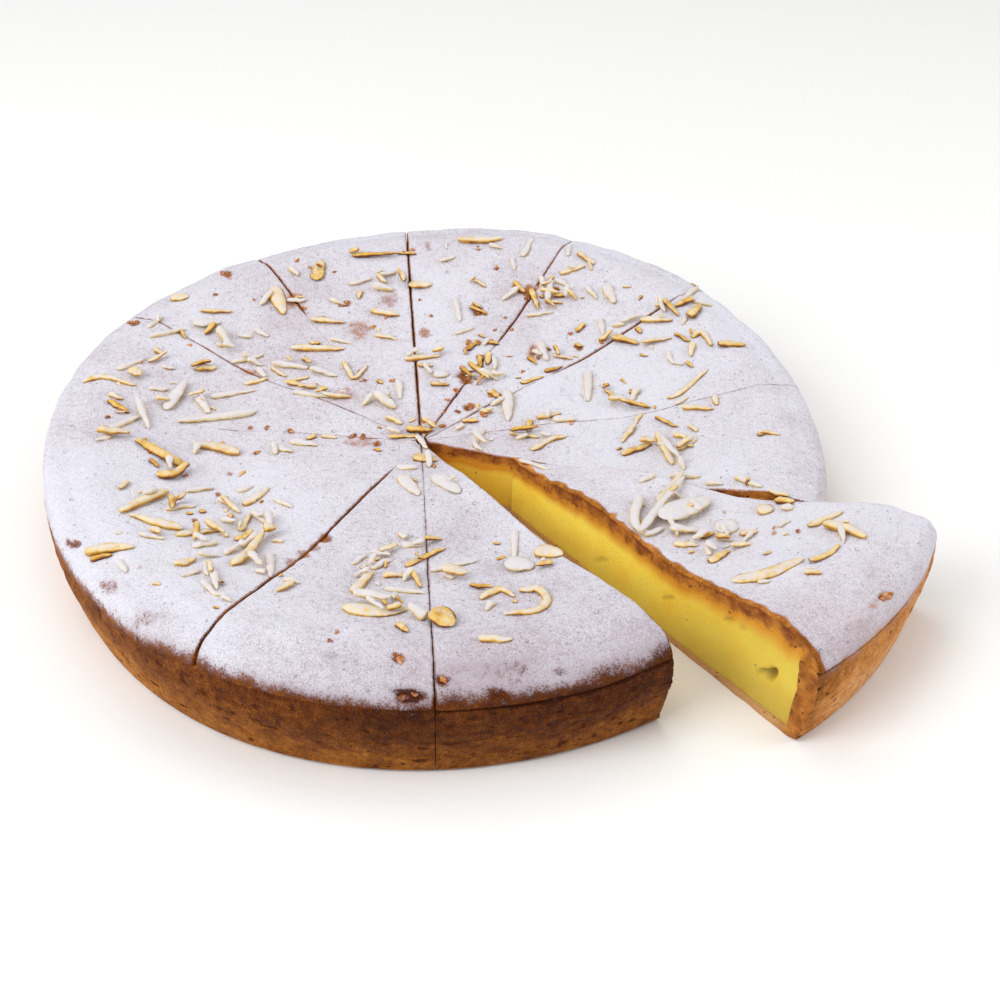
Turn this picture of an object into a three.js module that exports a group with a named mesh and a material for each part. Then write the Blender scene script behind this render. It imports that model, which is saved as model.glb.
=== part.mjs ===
// A lidded custard tart, cut into twelve slices, one of them drawn partly out of the round.
// Millimetres, +Z up, -Y is the front. The tart lies on its flat underside, and the origin is
// the middle of the underside's bounding box. Every slice has three layers: a pastry base with
// its outer wall, the custard in it, and a pastry lid whose edge bends down onto the wall's top.
import * as THREE from 'three';
import { mergeVertices } from 'three/addons/utils/BufferGeometryUtils.js';

// Driving dimensions of the whole tart.
const tartRadius = 140;
const baseRadiusShare = 0.97;        // the wall leans in towards the underside
const widestHeight = 19.5;           // and the shoulder curves in above this height
const seamHeight = 29;               // where the lid lies on the wall, on the outside
const baseThickness = 3;
const wallThickness = 7;
const lidThickness = 4;
const layerGap = 0.3;

// Height of the lid's top, as [share of the radius, millimetres], out to the shoulder.
const topStations = [[0, 22.5], [0.3, 26], [0.55, 27.5], [0.75, 33.5], [0.87, 37], [0.93, 36]];
const shoulderStart = 0.93;
const foldStart = 0.88;              // from here out the lid's inner line bends down with the rim
const shoulderPower = 0.65;          // under 1 the shoulder is fuller than an ellipse
const topSteps = 8;
const lidShoulderSteps = 4;
const wallShoulderSteps = 2;
const columnsPerSlice = 6;

// The tart is uneven: slow waves of its radius and height round the rim, as
// [waves per turn, share of the size, degrees where the wave is highest].
const radiusWaves = [[2, 0.006, 85], [3, 0.013, 34], [4, 0.012, -30]];
const heightWaves = [[1, 0.078, 88], [2, 0.088, 81]];
const waveRamp = 0.5;                // the height waves fade out inside this share of the radius

// The knife cuts: they meet beside the centre, and reach the rim at these angles.
const cutCentre = new THREE.Vector2(-5.5, 3.5);
const cutAngles = [95, 65, 39, 9.5, -21.5, -60, -90.5, -120.5, -151.5, -185.5, -212, -237.5];
const kerf = 1;

// The slice after the fifth cut is drawn out, and a little taller than those beside it.
const drawnIndex = 4;
const drawn = {
  tip: new THREE.Vector2(26, -10.2),
  farAngle: -22,
  nearAngle: -55,
  length: 148,
  height: 1.065,
  lean: 0.015,                       // the near side is higher by this share, the far side lower
  crown: 0.13,                       // its middle is dished less, by this share of the height
  crownReach: 0.65,                  // the crown ends at this share of the slice's length
};

const pastry = { color: '#b87a3c', roughness: 0.8, metalness: 0 };
const custard = { color: '#e3c22c', roughness: 0.45, metalness: 0 };
const sugaredLid = { color: '#e2dce4', roughness: 0.9, metalness: 0 };

const radians = THREE.MathUtils.degToRad;

function waveSum(waves, angle) {
  const heights = waves.map(([turns, size, peak]) => size * Math.cos(turns * (angle - radians(peak))));
  return heights.reduce((sum, height) => sum + height, 0);
}

function rimPoint(angle) {
  const radius = tartRadius * (1 + waveSum(radiusWaves, angle));
  return new THREE.Vector2(radius * Math.cos(angle), radius * Math.sin(angle));
}

// The shoulder is a quarter of a fuller ellipse, from the lid's top at turn 0 down to the widest
// point at a quarter turn. Points of every outline have a share of the radius as x, a height as y.
const shoulderDrop = topStations.at(-1)[1] - widestHeight;
const seamTurn = Math.acos(((seamHeight - widestHeight) / shoulderDrop) ** (1 / shoulderPower));

function shoulderPoint(turn) {
  const out = Math.sin(turn) ** shoulderPower;
  const up = Math.max(0, Math.cos(turn)) ** shoulderPower;
  return new THREE.Vector2(shoulderStart + (1 - shoulderStart) * out, widestHeight + shoulderDrop * up);
}

function shoulderPoints(fromTurn, toTurn, steps) {
  const turns = Array.from({ length: steps }, (_, k) => fromTurn + (toTurn - fromTurn) * (k + 1) / steps);
  return turns.map(shoulderPoint);
}

// The outer line of the lid, from the middle out over the shoulder to the seam.
function lidOutline() {
  const stations = topStations.map(([share, height]) => new THREE.Vector2(share, height));
  const top = new THREE.SplineCurve(stations).getSpacedPoints(topSteps);
  top[0].x = 0;
  return [...top, ...shoulderPoints(0, seamTurn, lidShoulderSteps)];
}

const seamShare = shoulderPoint(seamTurn).x;

// The inner line of the lid: lower by the lid's thickness in the middle, and in by the wall's
// thickness at the seam.
function lidInnerLine(clearance) {
  const innerRim = seamShare - (wallThickness + clearance) / tartRadius;
  return lidOutline().map(({ x, y }) => {
    const fold = THREE.MathUtils.clamp((x - foldStart) / (seamShare - foldStart), 0, 1);
    const share = Math.min(x, THREE.MathUtils.mapLinear(x, foldStart, seamShare, foldStart, innerRim));
    return new THREE.Vector2(share, y - (lidThickness + clearance) * (1 - fold ** 3));
  });
}

function lidSection() {
  return [...lidOutline(), ...lidInnerLine(0).reverse()];
}

function wallInnerPoint(outerShare, height, clearance) {
  return new THREE.Vector2(outerShare - (wallThickness + clearance) / tartRadius, height);
}

function shareAtHeight(height) {
  return THREE.MathUtils.lerp(baseRadiusShare, 1, height / widestHeight);
}

function custardSection() {
  const floor = baseThickness + layerGap;
  return [
    ...lidInnerLine(layerGap),
    wallInnerPoint(1, widestHeight, layerGap),
    wallInnerPoint(shareAtHeight(floor), floor, layerGap),
    new THREE.Vector2(0, floor),
  ];
}

function baseSection() {
  const wallTop = seamHeight - layerGap;
  return [
    new THREE.Vector2(0, baseThickness),
    wallInnerPoint(shareAtHeight(baseThickness), baseThickness, 0),
    wallInnerPoint(1, widestHeight, 0),
    wallInnerPoint(seamShare, wallTop, 0),
    new THREE.Vector2(seamShare, wallTop),
    ...shoulderPoints(seamTurn, Math.PI / 2, wallShoulderSteps),
    new THREE.Vector2(baseRadiusShare, 0),
    new THREE.Vector2(0, 0),
  ];
}

const columnShares = Array.from({ length: columnsPerSlice + 1 }, (_, column) => column / columnsPerSlice);

// A slice's place: its tip, the rim point of each of its columns, and how high it stands there.
function cutLine(angle, side) {
  const end = rimPoint(angle);
  const along = end.clone().sub(cutCentre).normalize();
  const shift = new THREE.Vector2(-along.y, along.x).multiplyScalar(side * kerf / 2);
  return { start: cutCentre.clone().add(shift), along, endAngle: end.add(shift).angle() };
}

function crossing(first, second) {
  const between = second.start.clone().sub(first.start);
  const reach = between.cross(second.along) / first.along.cross(second.along);
  return first.start.clone().addScaledVector(first.along, reach);
}

function seatedSlice(startAngle, endAngle) {
  const first = cutLine(startAngle, -1);
  const last = cutLine(endAngle, 1);
  const span = THREE.MathUtils.euclideanModulo(first.endAngle - last.endAngle, 2 * Math.PI);
  const angles = columnShares.map((share) => first.endAngle - span * share);
  return {
    tip: crossing(first, last),
    rim: angles.map(rimPoint),
    heightAt: (column, share) => 1 + waveSum(heightWaves, angles[column]) * Math.min(1, share / waveRamp),
  };
}

function drawnSlice() {
  const rim = columnShares.map((side) => {
    const angle = radians(THREE.MathUtils.lerp(drawn.farAngle, drawn.nearAngle, side));
    const reach = new THREE.Vector2(drawn.length, 0).rotateAround(new THREE.Vector2(), angle);
    return reach.add(drawn.tip);
  });
  const heightAt = (column, share) => {
    const lean = drawn.lean * (2 * columnShares[column] - 1) * Math.min(1, share / waveRamp);
    const crown = drawn.crown * Math.sin(Math.PI * Math.min(1, share / drawn.crownReach)) ** 2;
    return drawn.height + lean + crown;
  };
  return { tip: drawn.tip, rim, heightAt };
}

// Sweeps a closed section round a slice's place. Its points at share 0 all fall on the tip.
function sweptSection(section, { tip, rim, heightAt }) {
  const points = section.length;
  const positions = [];
  rim.forEach((end, column) => {
    section.forEach(({ x: share, y: height }) => {
      const spot = tip.clone().lerp(end, share);
      positions.push(spot.x, spot.y, height * heightAt(column, share));
    });
  });
  const faces = [];
  for (let column = 0; column + 1 < rim.length; column += 1) {
    for (let point = 0; point < points; point += 1) {
      const next = (point + 1) % points;
      const here = column * points;
      const there = here + points;
      if (section[point].x > 0) faces.push(here + point, there + point, there + next);
      if (section[next].x > 0) faces.push(here + point, there + next, here + next);
    }
  }
  const lastColumn = (rim.length - 1) * points;
  THREE.ShapeUtils.triangulateShape(section, []).forEach(([a, b, c]) => {
    faces.push(a, c, b, lastColumn + a, lastColumn + b, lastColumn + c);
  });
  const geometry = new THREE.BufferGeometry();
  geometry.setAttribute('position', new THREE.Float32BufferAttribute(positions, 3));
  geometry.setIndex(faces);
  const solid = mergeVertices(geometry, 1e-3);
  solid.computeVertexNormals();
  return solid;
}

const tart = new THREE.Group();
const layers = [
  { name: 'base', section: baseSection(), material: pastry },
  { name: 'custard', section: custardSection(), material: custard },
  { name: 'lid', section: lidSection(), material: sugaredLid },
];

cutAngles.forEach((angle, index) => {
  const nextAngle = cutAngles[(index + 1) % cutAngles.length];
  const place = index === drawnIndex ? drawnSlice() : seatedSlice(radians(angle), radians(nextAngle));
  layers.forEach(({ name, section, material }) => {
    const mesh = new THREE.Mesh(sweptSection(section, place), new THREE.MeshStandardMaterial(material));
    mesh.name = `${name}_${String(index + 1).padStart(2, '0')}`;
    tart.add(mesh);
  });
});

const bounds = new THREE.Box3().setFromObject(tart);
const middle = bounds.getCenter(new THREE.Vector3());
tart.position.set(-middle.x, -middle.y, -bounds.min.z);

export default tart;
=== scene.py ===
import math

import bpy
import numpy as np
from mathutils import Matrix, Vector
from mathutils.bvhtree import BVHTree


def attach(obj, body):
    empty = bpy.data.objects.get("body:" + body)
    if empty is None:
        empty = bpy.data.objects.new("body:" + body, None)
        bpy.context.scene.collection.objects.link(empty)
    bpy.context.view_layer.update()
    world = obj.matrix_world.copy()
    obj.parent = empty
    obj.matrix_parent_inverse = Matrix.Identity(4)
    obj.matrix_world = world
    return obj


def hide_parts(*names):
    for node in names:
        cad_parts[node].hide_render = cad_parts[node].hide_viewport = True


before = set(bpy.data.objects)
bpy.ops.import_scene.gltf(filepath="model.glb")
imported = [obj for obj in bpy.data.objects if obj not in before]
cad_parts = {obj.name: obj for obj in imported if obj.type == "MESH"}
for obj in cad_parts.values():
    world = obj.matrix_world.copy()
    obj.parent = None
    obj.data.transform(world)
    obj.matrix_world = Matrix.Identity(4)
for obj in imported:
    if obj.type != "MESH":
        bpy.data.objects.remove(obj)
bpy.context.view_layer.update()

mm = 0.001
sliceCount = 12

# The whole tart, in millimetres and degrees, with the middle of the round as its own origin.
tart = {
    "middle": (-12.03, 1.71),         # where the middle of the round lies in the frame
    "radius": 140.0,
    "baseShare": 0.97,                # the wall leans in to this share of the radius at the foot
    "widestHeight": 19.5,
    "seamHeight": 29.0,               # the lid's edge lies on the wall here
    "crustFloor": 3.0,
    "wallThickness": 7.0,
    "lidThickness": 4.0,
    "topStations": [(0, 22.5), (0.3, 26), (0.55, 27.5), (0.75, 33.5), (0.87, 37), (0.93, 36)],
    "shoulderPower": 0.65,
    "foldStart": 0.88,                # from here out the lid's underside bends down to the seam
    "radiusWaves": [(2, 0.006, 85), (3, 0.013, 34), (4, 0.012, -30)],
    "heightWaves": [(1, 0.078, 88), (2, 0.088, 81)],
    "waveRamp": 0.5,
    "cutCentre": (-5.5, 3.5),
    "cutAngles": [95, 65, 39, 9.5, -21.5, -60, -90.5, -120.5, -151.5, -185.5, -212, -237.5],
    "kerf": 0.55,                     # the crumb has closed up a little behind the knife
    "tipShare": 0.005,                # the tips are this blunt
}
# The fifth slice is drawn out of the round, and a little taller than those beside it.
drawn = {
    "index": 4,
    "tip": (26.0, -10.2),
    "farAngle": -22,
    "nearAngle": -55,
    "length": 148.0,
    "height": 1.065,
    "lean": 0.015,
    "crown": 0.13,
    "crownReach": 0.65,
}
detail = {
    "rows": 225,       # from the tip to the rim
    "wallRows": 110,
    "lidColumns": 66,  # from one cut to the next
    "baseColumns": 50,
    "custardColumns": 18,
    "lidLayers": 8,
    "custardLayers": 28,
    "wallLayers": 6,
    "edgeColumns": [0, 0.25, 0.6, 1.1],      # mm from the cut
    "fullWidth": 9,                          # mm wide, under which these move closer together
}
# How far each cut gapes, from 0 where it has closed up to 1, as [share of the radius, amount].
cutsOpen = [
    [(0, 0.7), (0.15, 1), (0.9, 1), (1, 0.8)],
    [(0, 0.5), (0.2, 0.9), (0.3, 0.15), (0.42, 0.5), (0.5, 0.9), (0.75, 0.75), (1, 0.35)],
    [(0, 0.3), (0.2, 0.7), (0.4, 0.15), (0.52, 0.9), (0.8, 0.9), (0.9, 0.3), (1, 0.3)],
    [(0, 0.2), (0.3, 0.35), (0.6, 0.25), (0.8, 0.35), (1, 0.3)],
    [(0, 1), (1, 1)],
    [(0, 1), (1, 1)],
    [(0, 0.6), (0.2, 0.35), (0.5, 0.6), (0.8, 0.55), (1, 0.7)],
    [(0, 0.05), (0.12, 0.05), (0.18, 0.9), (0.42, 1), (0.5, 0.6), (0.6, 0.6), (0.66, 1), (1, 1)],
    [(0, 0.05), (0.2, 0.05), (0.3, 0.2), (0.45, 0.1), (1, 0.05)],
    [(0, 0.1), (0.15, 0.3), (0.3, 0.35), (0.4, 0.05), (0.5, 0.4), (0.65, 0.05), (1, 0.1)],
    [(0, 0.1), (0.2, 0.45), (0.45, 0.35), (0.6, 0.65), (0.9, 0.5), (1, 0.5)],
    [(0, 0.05), (0.45, 0.05), (0.62, 0.15), (0.68, 0.9), (1, 0.8)],
]
wallCutsOpen = {6: 0.5}              # on the wall all the others have almost closed
closedWallCut = 0.12


def cellValue(x, y, z, seed):
    mixed = (x * 374761393 + y * 668265263 + z * 1274126177 + seed * 1013904223) & 0xFFFFFFFF
    mixed = ((mixed ^ (mixed >> 13)) * 1103515245) & 0xFFFFFFFF
    return ((mixed ^ (mixed >> 16)) & 0xFFFF) / 32767.5 - 1


def lumps(points, size, seed):       # smooth noise from -1 to 1, with lumps of that size in mm
    spots = points / np.asarray(size, float)
    cell = np.floor(spots).astype(np.int64)
    inside = spots - cell
    inside = inside * inside * (3 - 2 * inside)
    total = 0
    for corner in np.ndindex(2, 2, 2):
        weight = np.prod(np.where(corner, inside, 1 - inside), axis=-1)
        total = total + weight * cellValue(*np.moveaxis(cell + corner, -1, 0), seed)
    return total


def roughness(points, waves):        # waves are (mm high, size of its lumps in mm, seed)
    return sum(depth * lumps(points, size, seed) for depth, size, seed in waves)


def smoothStep(low, high, value):
    share = np.clip((value - low) / (high - low), 0, 1)
    return share * share * (3 - 2 * share)


# The photograph's view: millimetres from the middle of the round, degrees, and the lens in mm.
view = {"back": 461.3, "up": 341.4, "pan": 2.87, "tilt": 36.61, "roll": 1.1, "lens": 56.19}


def viewAxes():
    pan, tilt, roll = (math.radians(view[key]) for key in ("pan", "tilt", "roll"))
    forward = np.array([math.sin(pan) * math.cos(tilt), math.cos(pan) * math.cos(tilt), -math.sin(tilt)])
    level = np.array([math.cos(pan), -math.sin(pan), 0])
    upright = np.cross(level, forward)
    right = math.cos(roll) * level + math.sin(roll) * upright
    up = -math.sin(roll) * level + math.cos(roll) * upright
    return right, up, forward


def addCamera():
    right, up, forward = viewAxes()
    camera = bpy.data.objects.new("photoCamera", bpy.data.cameras.new("photoCamera"))
    turn = Matrix(np.stack([right, up, -forward], 1).tolist())
    place = Vector((tart["middle"][0], tart["middle"][1] - view["back"], view["up"])) * mm
    camera.matrix_world = Matrix.Translation(place) @ turn.to_4x4()
    camera.data.lens = view["lens"]
    camera.data.sensor_width = 36
    camera.data.clip_start = 0.01
    bpy.context.scene.collection.objects.link(camera)
    bpy.context.scene.camera = camera


def pixelRay(x, y):                  # from the camera through a pixel of the 1000 by 1000 frame
    right, up, forward = viewAxes()
    focal = view["lens"] / 36 * 1000
    start = np.array([0, -view["back"], view["up"]])
    return start, forward + right * (x - 500) / focal + up * (500 - y) / focal


def pixelsOf(points):                # where points in mm fall in the 1000 by 1000 frame
    right, up, forward = viewAxes()
    seen = points - np.array([0, -view["back"], view["up"]])
    scale = view["lens"] / 36 * 1000 / (seen @ forward)
    return 500 + seen @ right * scale, 500 - seen @ up * scale


addCamera()
print("camera placed")


def waveSum(waves, angle):
    return sum(size * np.cos(turns * (angle - math.radians(peak))) for turns, size, peak in waves)


def rimPoint(angle):
    radius = tart["radius"] * (1 + waveSum(tart["radiusWaves"], angle))
    return np.stack([radius * np.cos(angle), radius * np.sin(angle)], -1)


def smoothLine(points, perSpan):
    padded = np.vstack([points[:1], points, points[-1:]])
    t = np.linspace(0, 1, perSpan, endpoint=False)[:, None]
    spans = []
    for a, b, c, d in zip(padded, padded[1:], padded[2:], padded[3:]):
        spans.append(b + 0.5 * t * (c - a + t * (2 * a - 5 * b + 4 * c - d + t * (3 * (b - c) + d - a))))
    return np.vstack(spans + [points[-1:]])


def evenSteps(line, count):          # the same line with its points at even distances
    steps = np.diff(line * [tart["radius"], 1], axis=0)
    walked = np.append(0, np.cumsum(np.hypot(*steps.T)))
    at = np.linspace(0, walked[-1], count)
    return np.stack([np.interp(at, walked, column) for column in line.T], -1)


shoulderStart, shoulderTop = tart["topStations"][-1]
shoulderDrop = shoulderTop - tart["widestHeight"]
seamRise = (tart["seamHeight"] - tart["widestHeight"]) / shoulderDrop
seamTurn = math.acos(seamRise ** (1 / tart["shoulderPower"]))


def shoulderLine(fromTurn, toTurn, count):
    turn = fromTurn + (toTurn - fromTurn) * np.linspace(0, 1, count) ** 1.5
    out = np.sin(turn) ** tart["shoulderPower"]
    up = np.maximum(0, np.cos(turn)) ** tart["shoulderPower"]
    share = shoulderStart + (1 - shoulderStart) * out
    return np.stack([share, tart["widestHeight"] + shoulderDrop * up], -1)


def topLine(count):
    inside = smoothLine(np.array(tart["topStations"], float), 40)
    line = np.vstack([inside, shoulderLine(0, seamTurn, 60)[1:]])
    return evenSteps(line[line[:, 0] >= tart["tipShare"]], count)


def underLine(line):                 # the lid's underside, point for point below its top
    seamShare = line[-1, 0]
    fold = np.clip((line[:, 0] - tart["foldStart"]) / (seamShare - tart["foldStart"]), 0, 1)
    wallShare = tart["wallThickness"] / tart["radius"]
    share = line[:, 0] - fold * wallShare
    return np.stack([share, line[:, 1] - tart["lidThickness"] * (1 - fold ** 3)], -1)


def cutLine(angle, side):
    centre = np.array(tart["cutCentre"])
    end = rimPoint(math.radians(angle))
    along = (end - centre) / np.linalg.norm(end - centre)
    shift = np.array([-along[1], along[0]]) * side * tart["kerf"] / 2
    return centre + shift, along, math.atan2(*(end + shift)[::-1])


# The slice in front of the gap stands up a little along it, by these shares of its height.
byTheGap = {"rise": 0.1, "riseShares": (0.06, 0.3), "fall": 0.03, "fallShares": (0.5, 0.8), "width": 0.4}


def seatedPlace(index):
    start, alongStart, startAngle = cutLine(tart["cutAngles"][index], -1)
    end, alongEnd, endAngle = cutLine(tart["cutAngles"][(index + 1) % sliceCount], 1)
    reach = np.cross(end - start, alongEnd) / np.cross(alongStart, alongEnd)
    span = (startAngle - endAngle) % (2 * math.pi)

    def angleAt(side):
        return startAngle - span * side

    def swell(share, side):
        waves = waveSum(tart["heightWaves"], angleAt(side)) * np.minimum(1, share / tart["waveRamp"])
        raised = byTheGap["rise"] * smoothStep(*byTheGap["riseShares"], share)
        raised = raised - byTheGap["fall"] * smoothStep(*byTheGap["fallShares"], share)
        raised = raised * smoothStep(byTheGap["width"], 0, side)
        return 1 + waves + (raised if index == drawn["index"] + 1 else 0)

    return {
        "index": index, "tip": start + alongStart * reach, "rim": lambda side: rimPoint(angleAt(side)),
        "swell": swell, "along": (alongStart, alongEnd), "angleAt": angleAt,
    }


def drawnPlace():
    def angleAt(side):
        return np.radians(drawn["farAngle"] + (drawn["nearAngle"] - drawn["farAngle"]) * side)

    def rim(side):
        angle = angleAt(side)
        return np.array(drawn["tip"]) + drawn["length"] * np.stack([np.cos(angle), np.sin(angle)], -1)

    def swell(share, side):
        lean = drawn["lean"] * (2 * side - 1) * np.minimum(1, share / tart["waveRamp"])
        crown = drawn["crown"] * np.sin(math.pi * np.minimum(1, share / drawn["crownReach"])) ** 2
        return drawn["height"] + lean + crown

    ends = [np.array([math.cos(angle), math.sin(angle)]) for angle in (angleAt(0), angleAt(1))]
    return {
        "index": drawn["index"], "tip": np.array(drawn["tip"]), "rim": rim,
        "swell": swell, "along": ends, "angleAt": angleAt,
    }


places = [drawnPlace() if index == drawn["index"] else seatedPlace(index) for index in range(sliceCount)]


def isDrawn(place):
    return place["index"] == drawn["index"]


def isByTheGap(place):               # only these two show the lid's edge as a lip
    return place["index"] in (drawn["index"], drawn["index"] + 1)


# A layer of a slice is a block of points: rows from the tip out, layers from its outer line to
# its inner line, and columns from one cut to the next, closer together where a cut edge is round.
def columnSides(width, columns):
    near = np.array(detail["edgeColumns"])
    first = near * np.minimum(1, width[:, None] / detail["fullWidth"]) / width[:, None]
    between = np.linspace(0, 1, columns - 2 * len(near) + 2)[1:-1]
    last = first[:, -1:]
    return np.hstack([first, last + (1 - 2 * last) * between, 1 - first[:, ::-1]])


def wedgeBlock(place, outer, inner, layers, columns):
    across = np.linspace(0, 1, layers + 1)[:, None]
    line = outer[:, None] * (1 - across) + inner[:, None] * across
    span = np.linalg.norm(place["rim"](0.0) - place["rim"](1.0))
    width = span * outer[:, 0]
    side = columnSides(width, columns)[:, None]
    share = line[..., :1]
    plan = place["tip"] + share[..., None] * (place["rim"](side) - place["tip"])
    height = line[..., 1:] * place["swell"](share, side)
    block = {
        "points": np.concatenate([plan, height[..., None]], -1),
        "side": np.broadcast_to(side, height.shape),
        "share": np.broadcast_to(share, height.shape),
        "plainHeight": np.broadcast_to(line[..., 1:], height.shape),
    }
    block["toFirst"] = block["side"] * width[:, None, None]
    block["toLast"] = (1 - block["side"]) * width[:, None, None]
    block["fromCut"] = np.minimum(block["toFirst"], block["toLast"])
    return block


def sheetNormals(sheet):
    alongRows = np.gradient(sheet, axis=0)
    alongColumns = np.gradient(sheet, axis=1)
    normals = np.cross(alongRows, alongColumns)
    return normals / np.maximum(np.linalg.norm(normals, axis=-1, keepdims=True), 1e-9)


def cutOpenness(place, share, side):
    nearest = []
    for cut in (place["index"], (place["index"] + 1) % sliceCount):
        shares, amounts = zip(*cutsOpen[cut])
        nearest.append(np.interp(share, shares, amounts))
    return np.where(side < 0.5, *nearest)


# How the knife left the cut faces: unevenness as (mm, size of its lumps in mm), and how far the
# drawn slice's faces stand back. The other slices' faces are smoother.
cutFaces = {
    "crust": {"unevenness": [(0.3, 3.2), (0.18, 1.3)], "recess": 0.1},
    "custard": {"unevenness": [(0.16, 11), (0.08, 3)], "recess": 0.25},
    "reach": 3.0,                    # mm behind the cut that still move with it
    "seated": 0.35,
    "overlap": 0.03,                 # mm by which a closed cut's faces go into one another
}


def roughenCuts(place, block, kind, seed, openness=1):
    points = block["points"]
    face = cutFaces[kind]
    closing = (1 - openness) * (tart["kerf"] / 2 + cutFaces["overlap"])
    for side, along in enumerate(place["along"]):
        outward = np.array([-along[1], along[0], 0]) * (1 if side == 0 else -1)
        distance = block["toFirst" if side == 0 else "toLast"]
        near = np.clip(1 - distance / cutFaces["reach"], 0, 1) ** 2
        sideSeed = seed + place["index"] * 7 + side
        uneven = roughness(points, [(depth, size, sideSeed) for depth, size in face["unevenness"]])
        uneven = uneven - face["recess"] if isDrawn(place) else uneven * cutFaces["seated"]
        points = points + outward * (near * (uneven + closing))[..., None]
    block["points"] = points


def blockPiece(name, block, fields, slotOf):
    points = block["points"]
    onSkin = np.ones(points.shape[:3], bool)
    onSkin[1:-1, 1:-1, 1:-1] = False
    index = np.full(onSkin.shape, -1, np.int64)
    index[onSkin] = np.arange(onSkin.sum())
    sheets = {
        "first": (index[:, :, 0], False), "last": (index[:, :, -1], True),
        "outer": (index[:, 0], True), "inner": (index[:, -1], False),
        "tip": (index[0], False), "rim": (index[-1], True),
    }
    faces, slots = [], []
    for sheetName, (sheet, turned) in sheets.items():
        corners = [sheet[:-1, :-1], sheet[1:, :-1], sheet[1:, 1:], sheet[:-1, 1:]]
        quads = np.stack(corners, -1).reshape(-1, 4)
        faces.append(quads[:, ::-1] if turned else quads)
        slots.append(np.full(len(quads), slotOf(sheetName)))
    faces = np.vstack(faces)
    spots = (points[onSkin] + np.array([*tart["middle"], 0])) * mm
    mesh = bpy.data.meshes.new(name)
    mesh.vertices.add(len(spots))
    mesh.vertices.foreach_set("co", spots.astype(np.float32).ravel())
    mesh.loops.add(faces.size)
    mesh.loops.foreach_set("vertex_index", faces.astype(np.int32).ravel())
    mesh.polygons.add(len(faces))
    mesh.polygons.foreach_set("loop_start", np.arange(0, faces.size, 4, dtype=np.int32))
    mesh.polygons.foreach_set("material_index", np.concatenate(slots).astype(np.int32))
    mesh.update(calc_edges=True)
    mesh.validate()
    mesh.shade_smooth()
    mesh.set_sharp_from_angle(angle=math.radians(60))
    for fieldName, values in fields.items():
        field = mesh.attributes.new(fieldName, "FLOAT", "POINT")
        field.data.foreach_set("value", np.broadcast_to(values, onSkin.shape)[onSkin].astype(np.float32))
    piece = bpy.data.objects.new(name, mesh)
    bpy.context.scene.collection.objects.link(piece)
    return piece


def linear(hexColour):
    values = [int(hexColour[k:k + 2], 16) / 255 for k in (1, 3, 5)]
    return [v / 12.92 if v <= 0.04045 else ((v + 0.055) / 1.055) ** 2.4 for v in values] + [1]


# Inputs are values, hex colours, sockets or nodes; a node gives its first output that is in use.
def addNode(tree, kind, inputs=None, stops=(), **settings):
    node = tree.nodes.new(kind if "Node" in kind else f"ShaderNode{kind}")
    for key, value in settings.items():
        setattr(node, key, value)
    for key, value in (inputs or {}).items():
        if isinstance(value, bpy.types.Node):
            value = next(output for output in value.outputs if output.enabled)
        if isinstance(value, bpy.types.NodeSocket):
            tree.links.new(value, node.inputs[key])
        else:
            node.inputs[key].default_value = linear(value) if str(value).startswith("#") else value
    if stops:
        elements = node.color_ramp.elements
        elements.remove(elements[1])
        elements[0].position, elements[0].color = stops[0][0], linear(stops[0][1])
        for position, colour in stops[1:]:
            elements.new(position).color = linear(colour)
    return node


smooth = {"interpolation_type": "SMOOTHSTEP"}


# A material's noise patterns are (size of their lumps in mm, steps, roughness), and its fields are
# values stored on the mesh.
def startMaterial(name, patterns, fields=()):
    material = bpy.data.materials.new(name)
    material.use_nodes = True
    tree = material.node_tree
    tree.nodes.clear()
    made = {"place": addNode(tree, "TexCoord").outputs["Object"]}
    for key, (size, steps, rough) in patterns.items():
        inputs = {"Vector": made["place"], "Scale": 1 / (size * mm), "Detail": steps, "Roughness": rough}
        made[key] = addNode(tree, "TexNoise", inputs)
    for key in fields:
        made[key] = addNode(tree, "Attribute", attribute_name=key).outputs["Fac"]
    return material, tree, made


def finishMaterial(tree, inputs, height=None, depth=0):       # depth of the relief in mm
    if height is not None:
        inputs["Normal"] = addNode(tree, "Bump", {"Height": height, "Distance": depth * mm, "Strength": 1.0})
    shader = addNode(tree, "BsdfPrincipled", inputs)
    addNode(tree, "OutputMaterial", {0: shader})


def mottled(tree, start, patterns):  # adds patterns to a value, each by its amount round its middle
    for pattern, amount in patterns:
        start = addNode(tree, "Math", {0: pattern, 1: amount, 2: start}, operation="MULTIPLY_ADD")
    middle = sum(amount for pattern, amount in patterns) / 2
    return addNode(tree, "Math", {0: start, 1: middle}, operation="SUBTRACT")


def layered(tree, colour, layers):   # lays colours on, each by its share
    for share, shade in layers:
        colour = addNode(tree, "Mix", {0: share, 6: colour, 7: shade}, data_type="RGBA")
    return colour


def spots(tree, place, kinds):       # 1 in round spots, of (spacing in mm, radius in mm, share kept)
    total = None
    for spacing, radius, kept in kinds:
        size = radius / spacing
        cells = addNode(tree, "TexVoronoi", {"Vector": place, "Scale": 1 / (spacing * mm)}, feature="F1")
        chosen = addNode(tree, "SeparateColor", {0: cells.outputs["Color"]})
        dot = addNode(tree, "MapRange", {0: cells, 1: size * 0.5, 2: size, 3: 1.0, 4: 0.0}, **smooth)
        chosen = addNode(tree, "Math", {0: chosen, 1: kept}, operation="LESS_THAN")
        dot = addNode(tree, "Math", {0: dot, 1: chosen}, operation="MULTIPLY")
        total = addNode(tree, "Math", {0: total, 1: dot}, operation="MAXIMUM") if total is not None else dot
    return total


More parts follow.
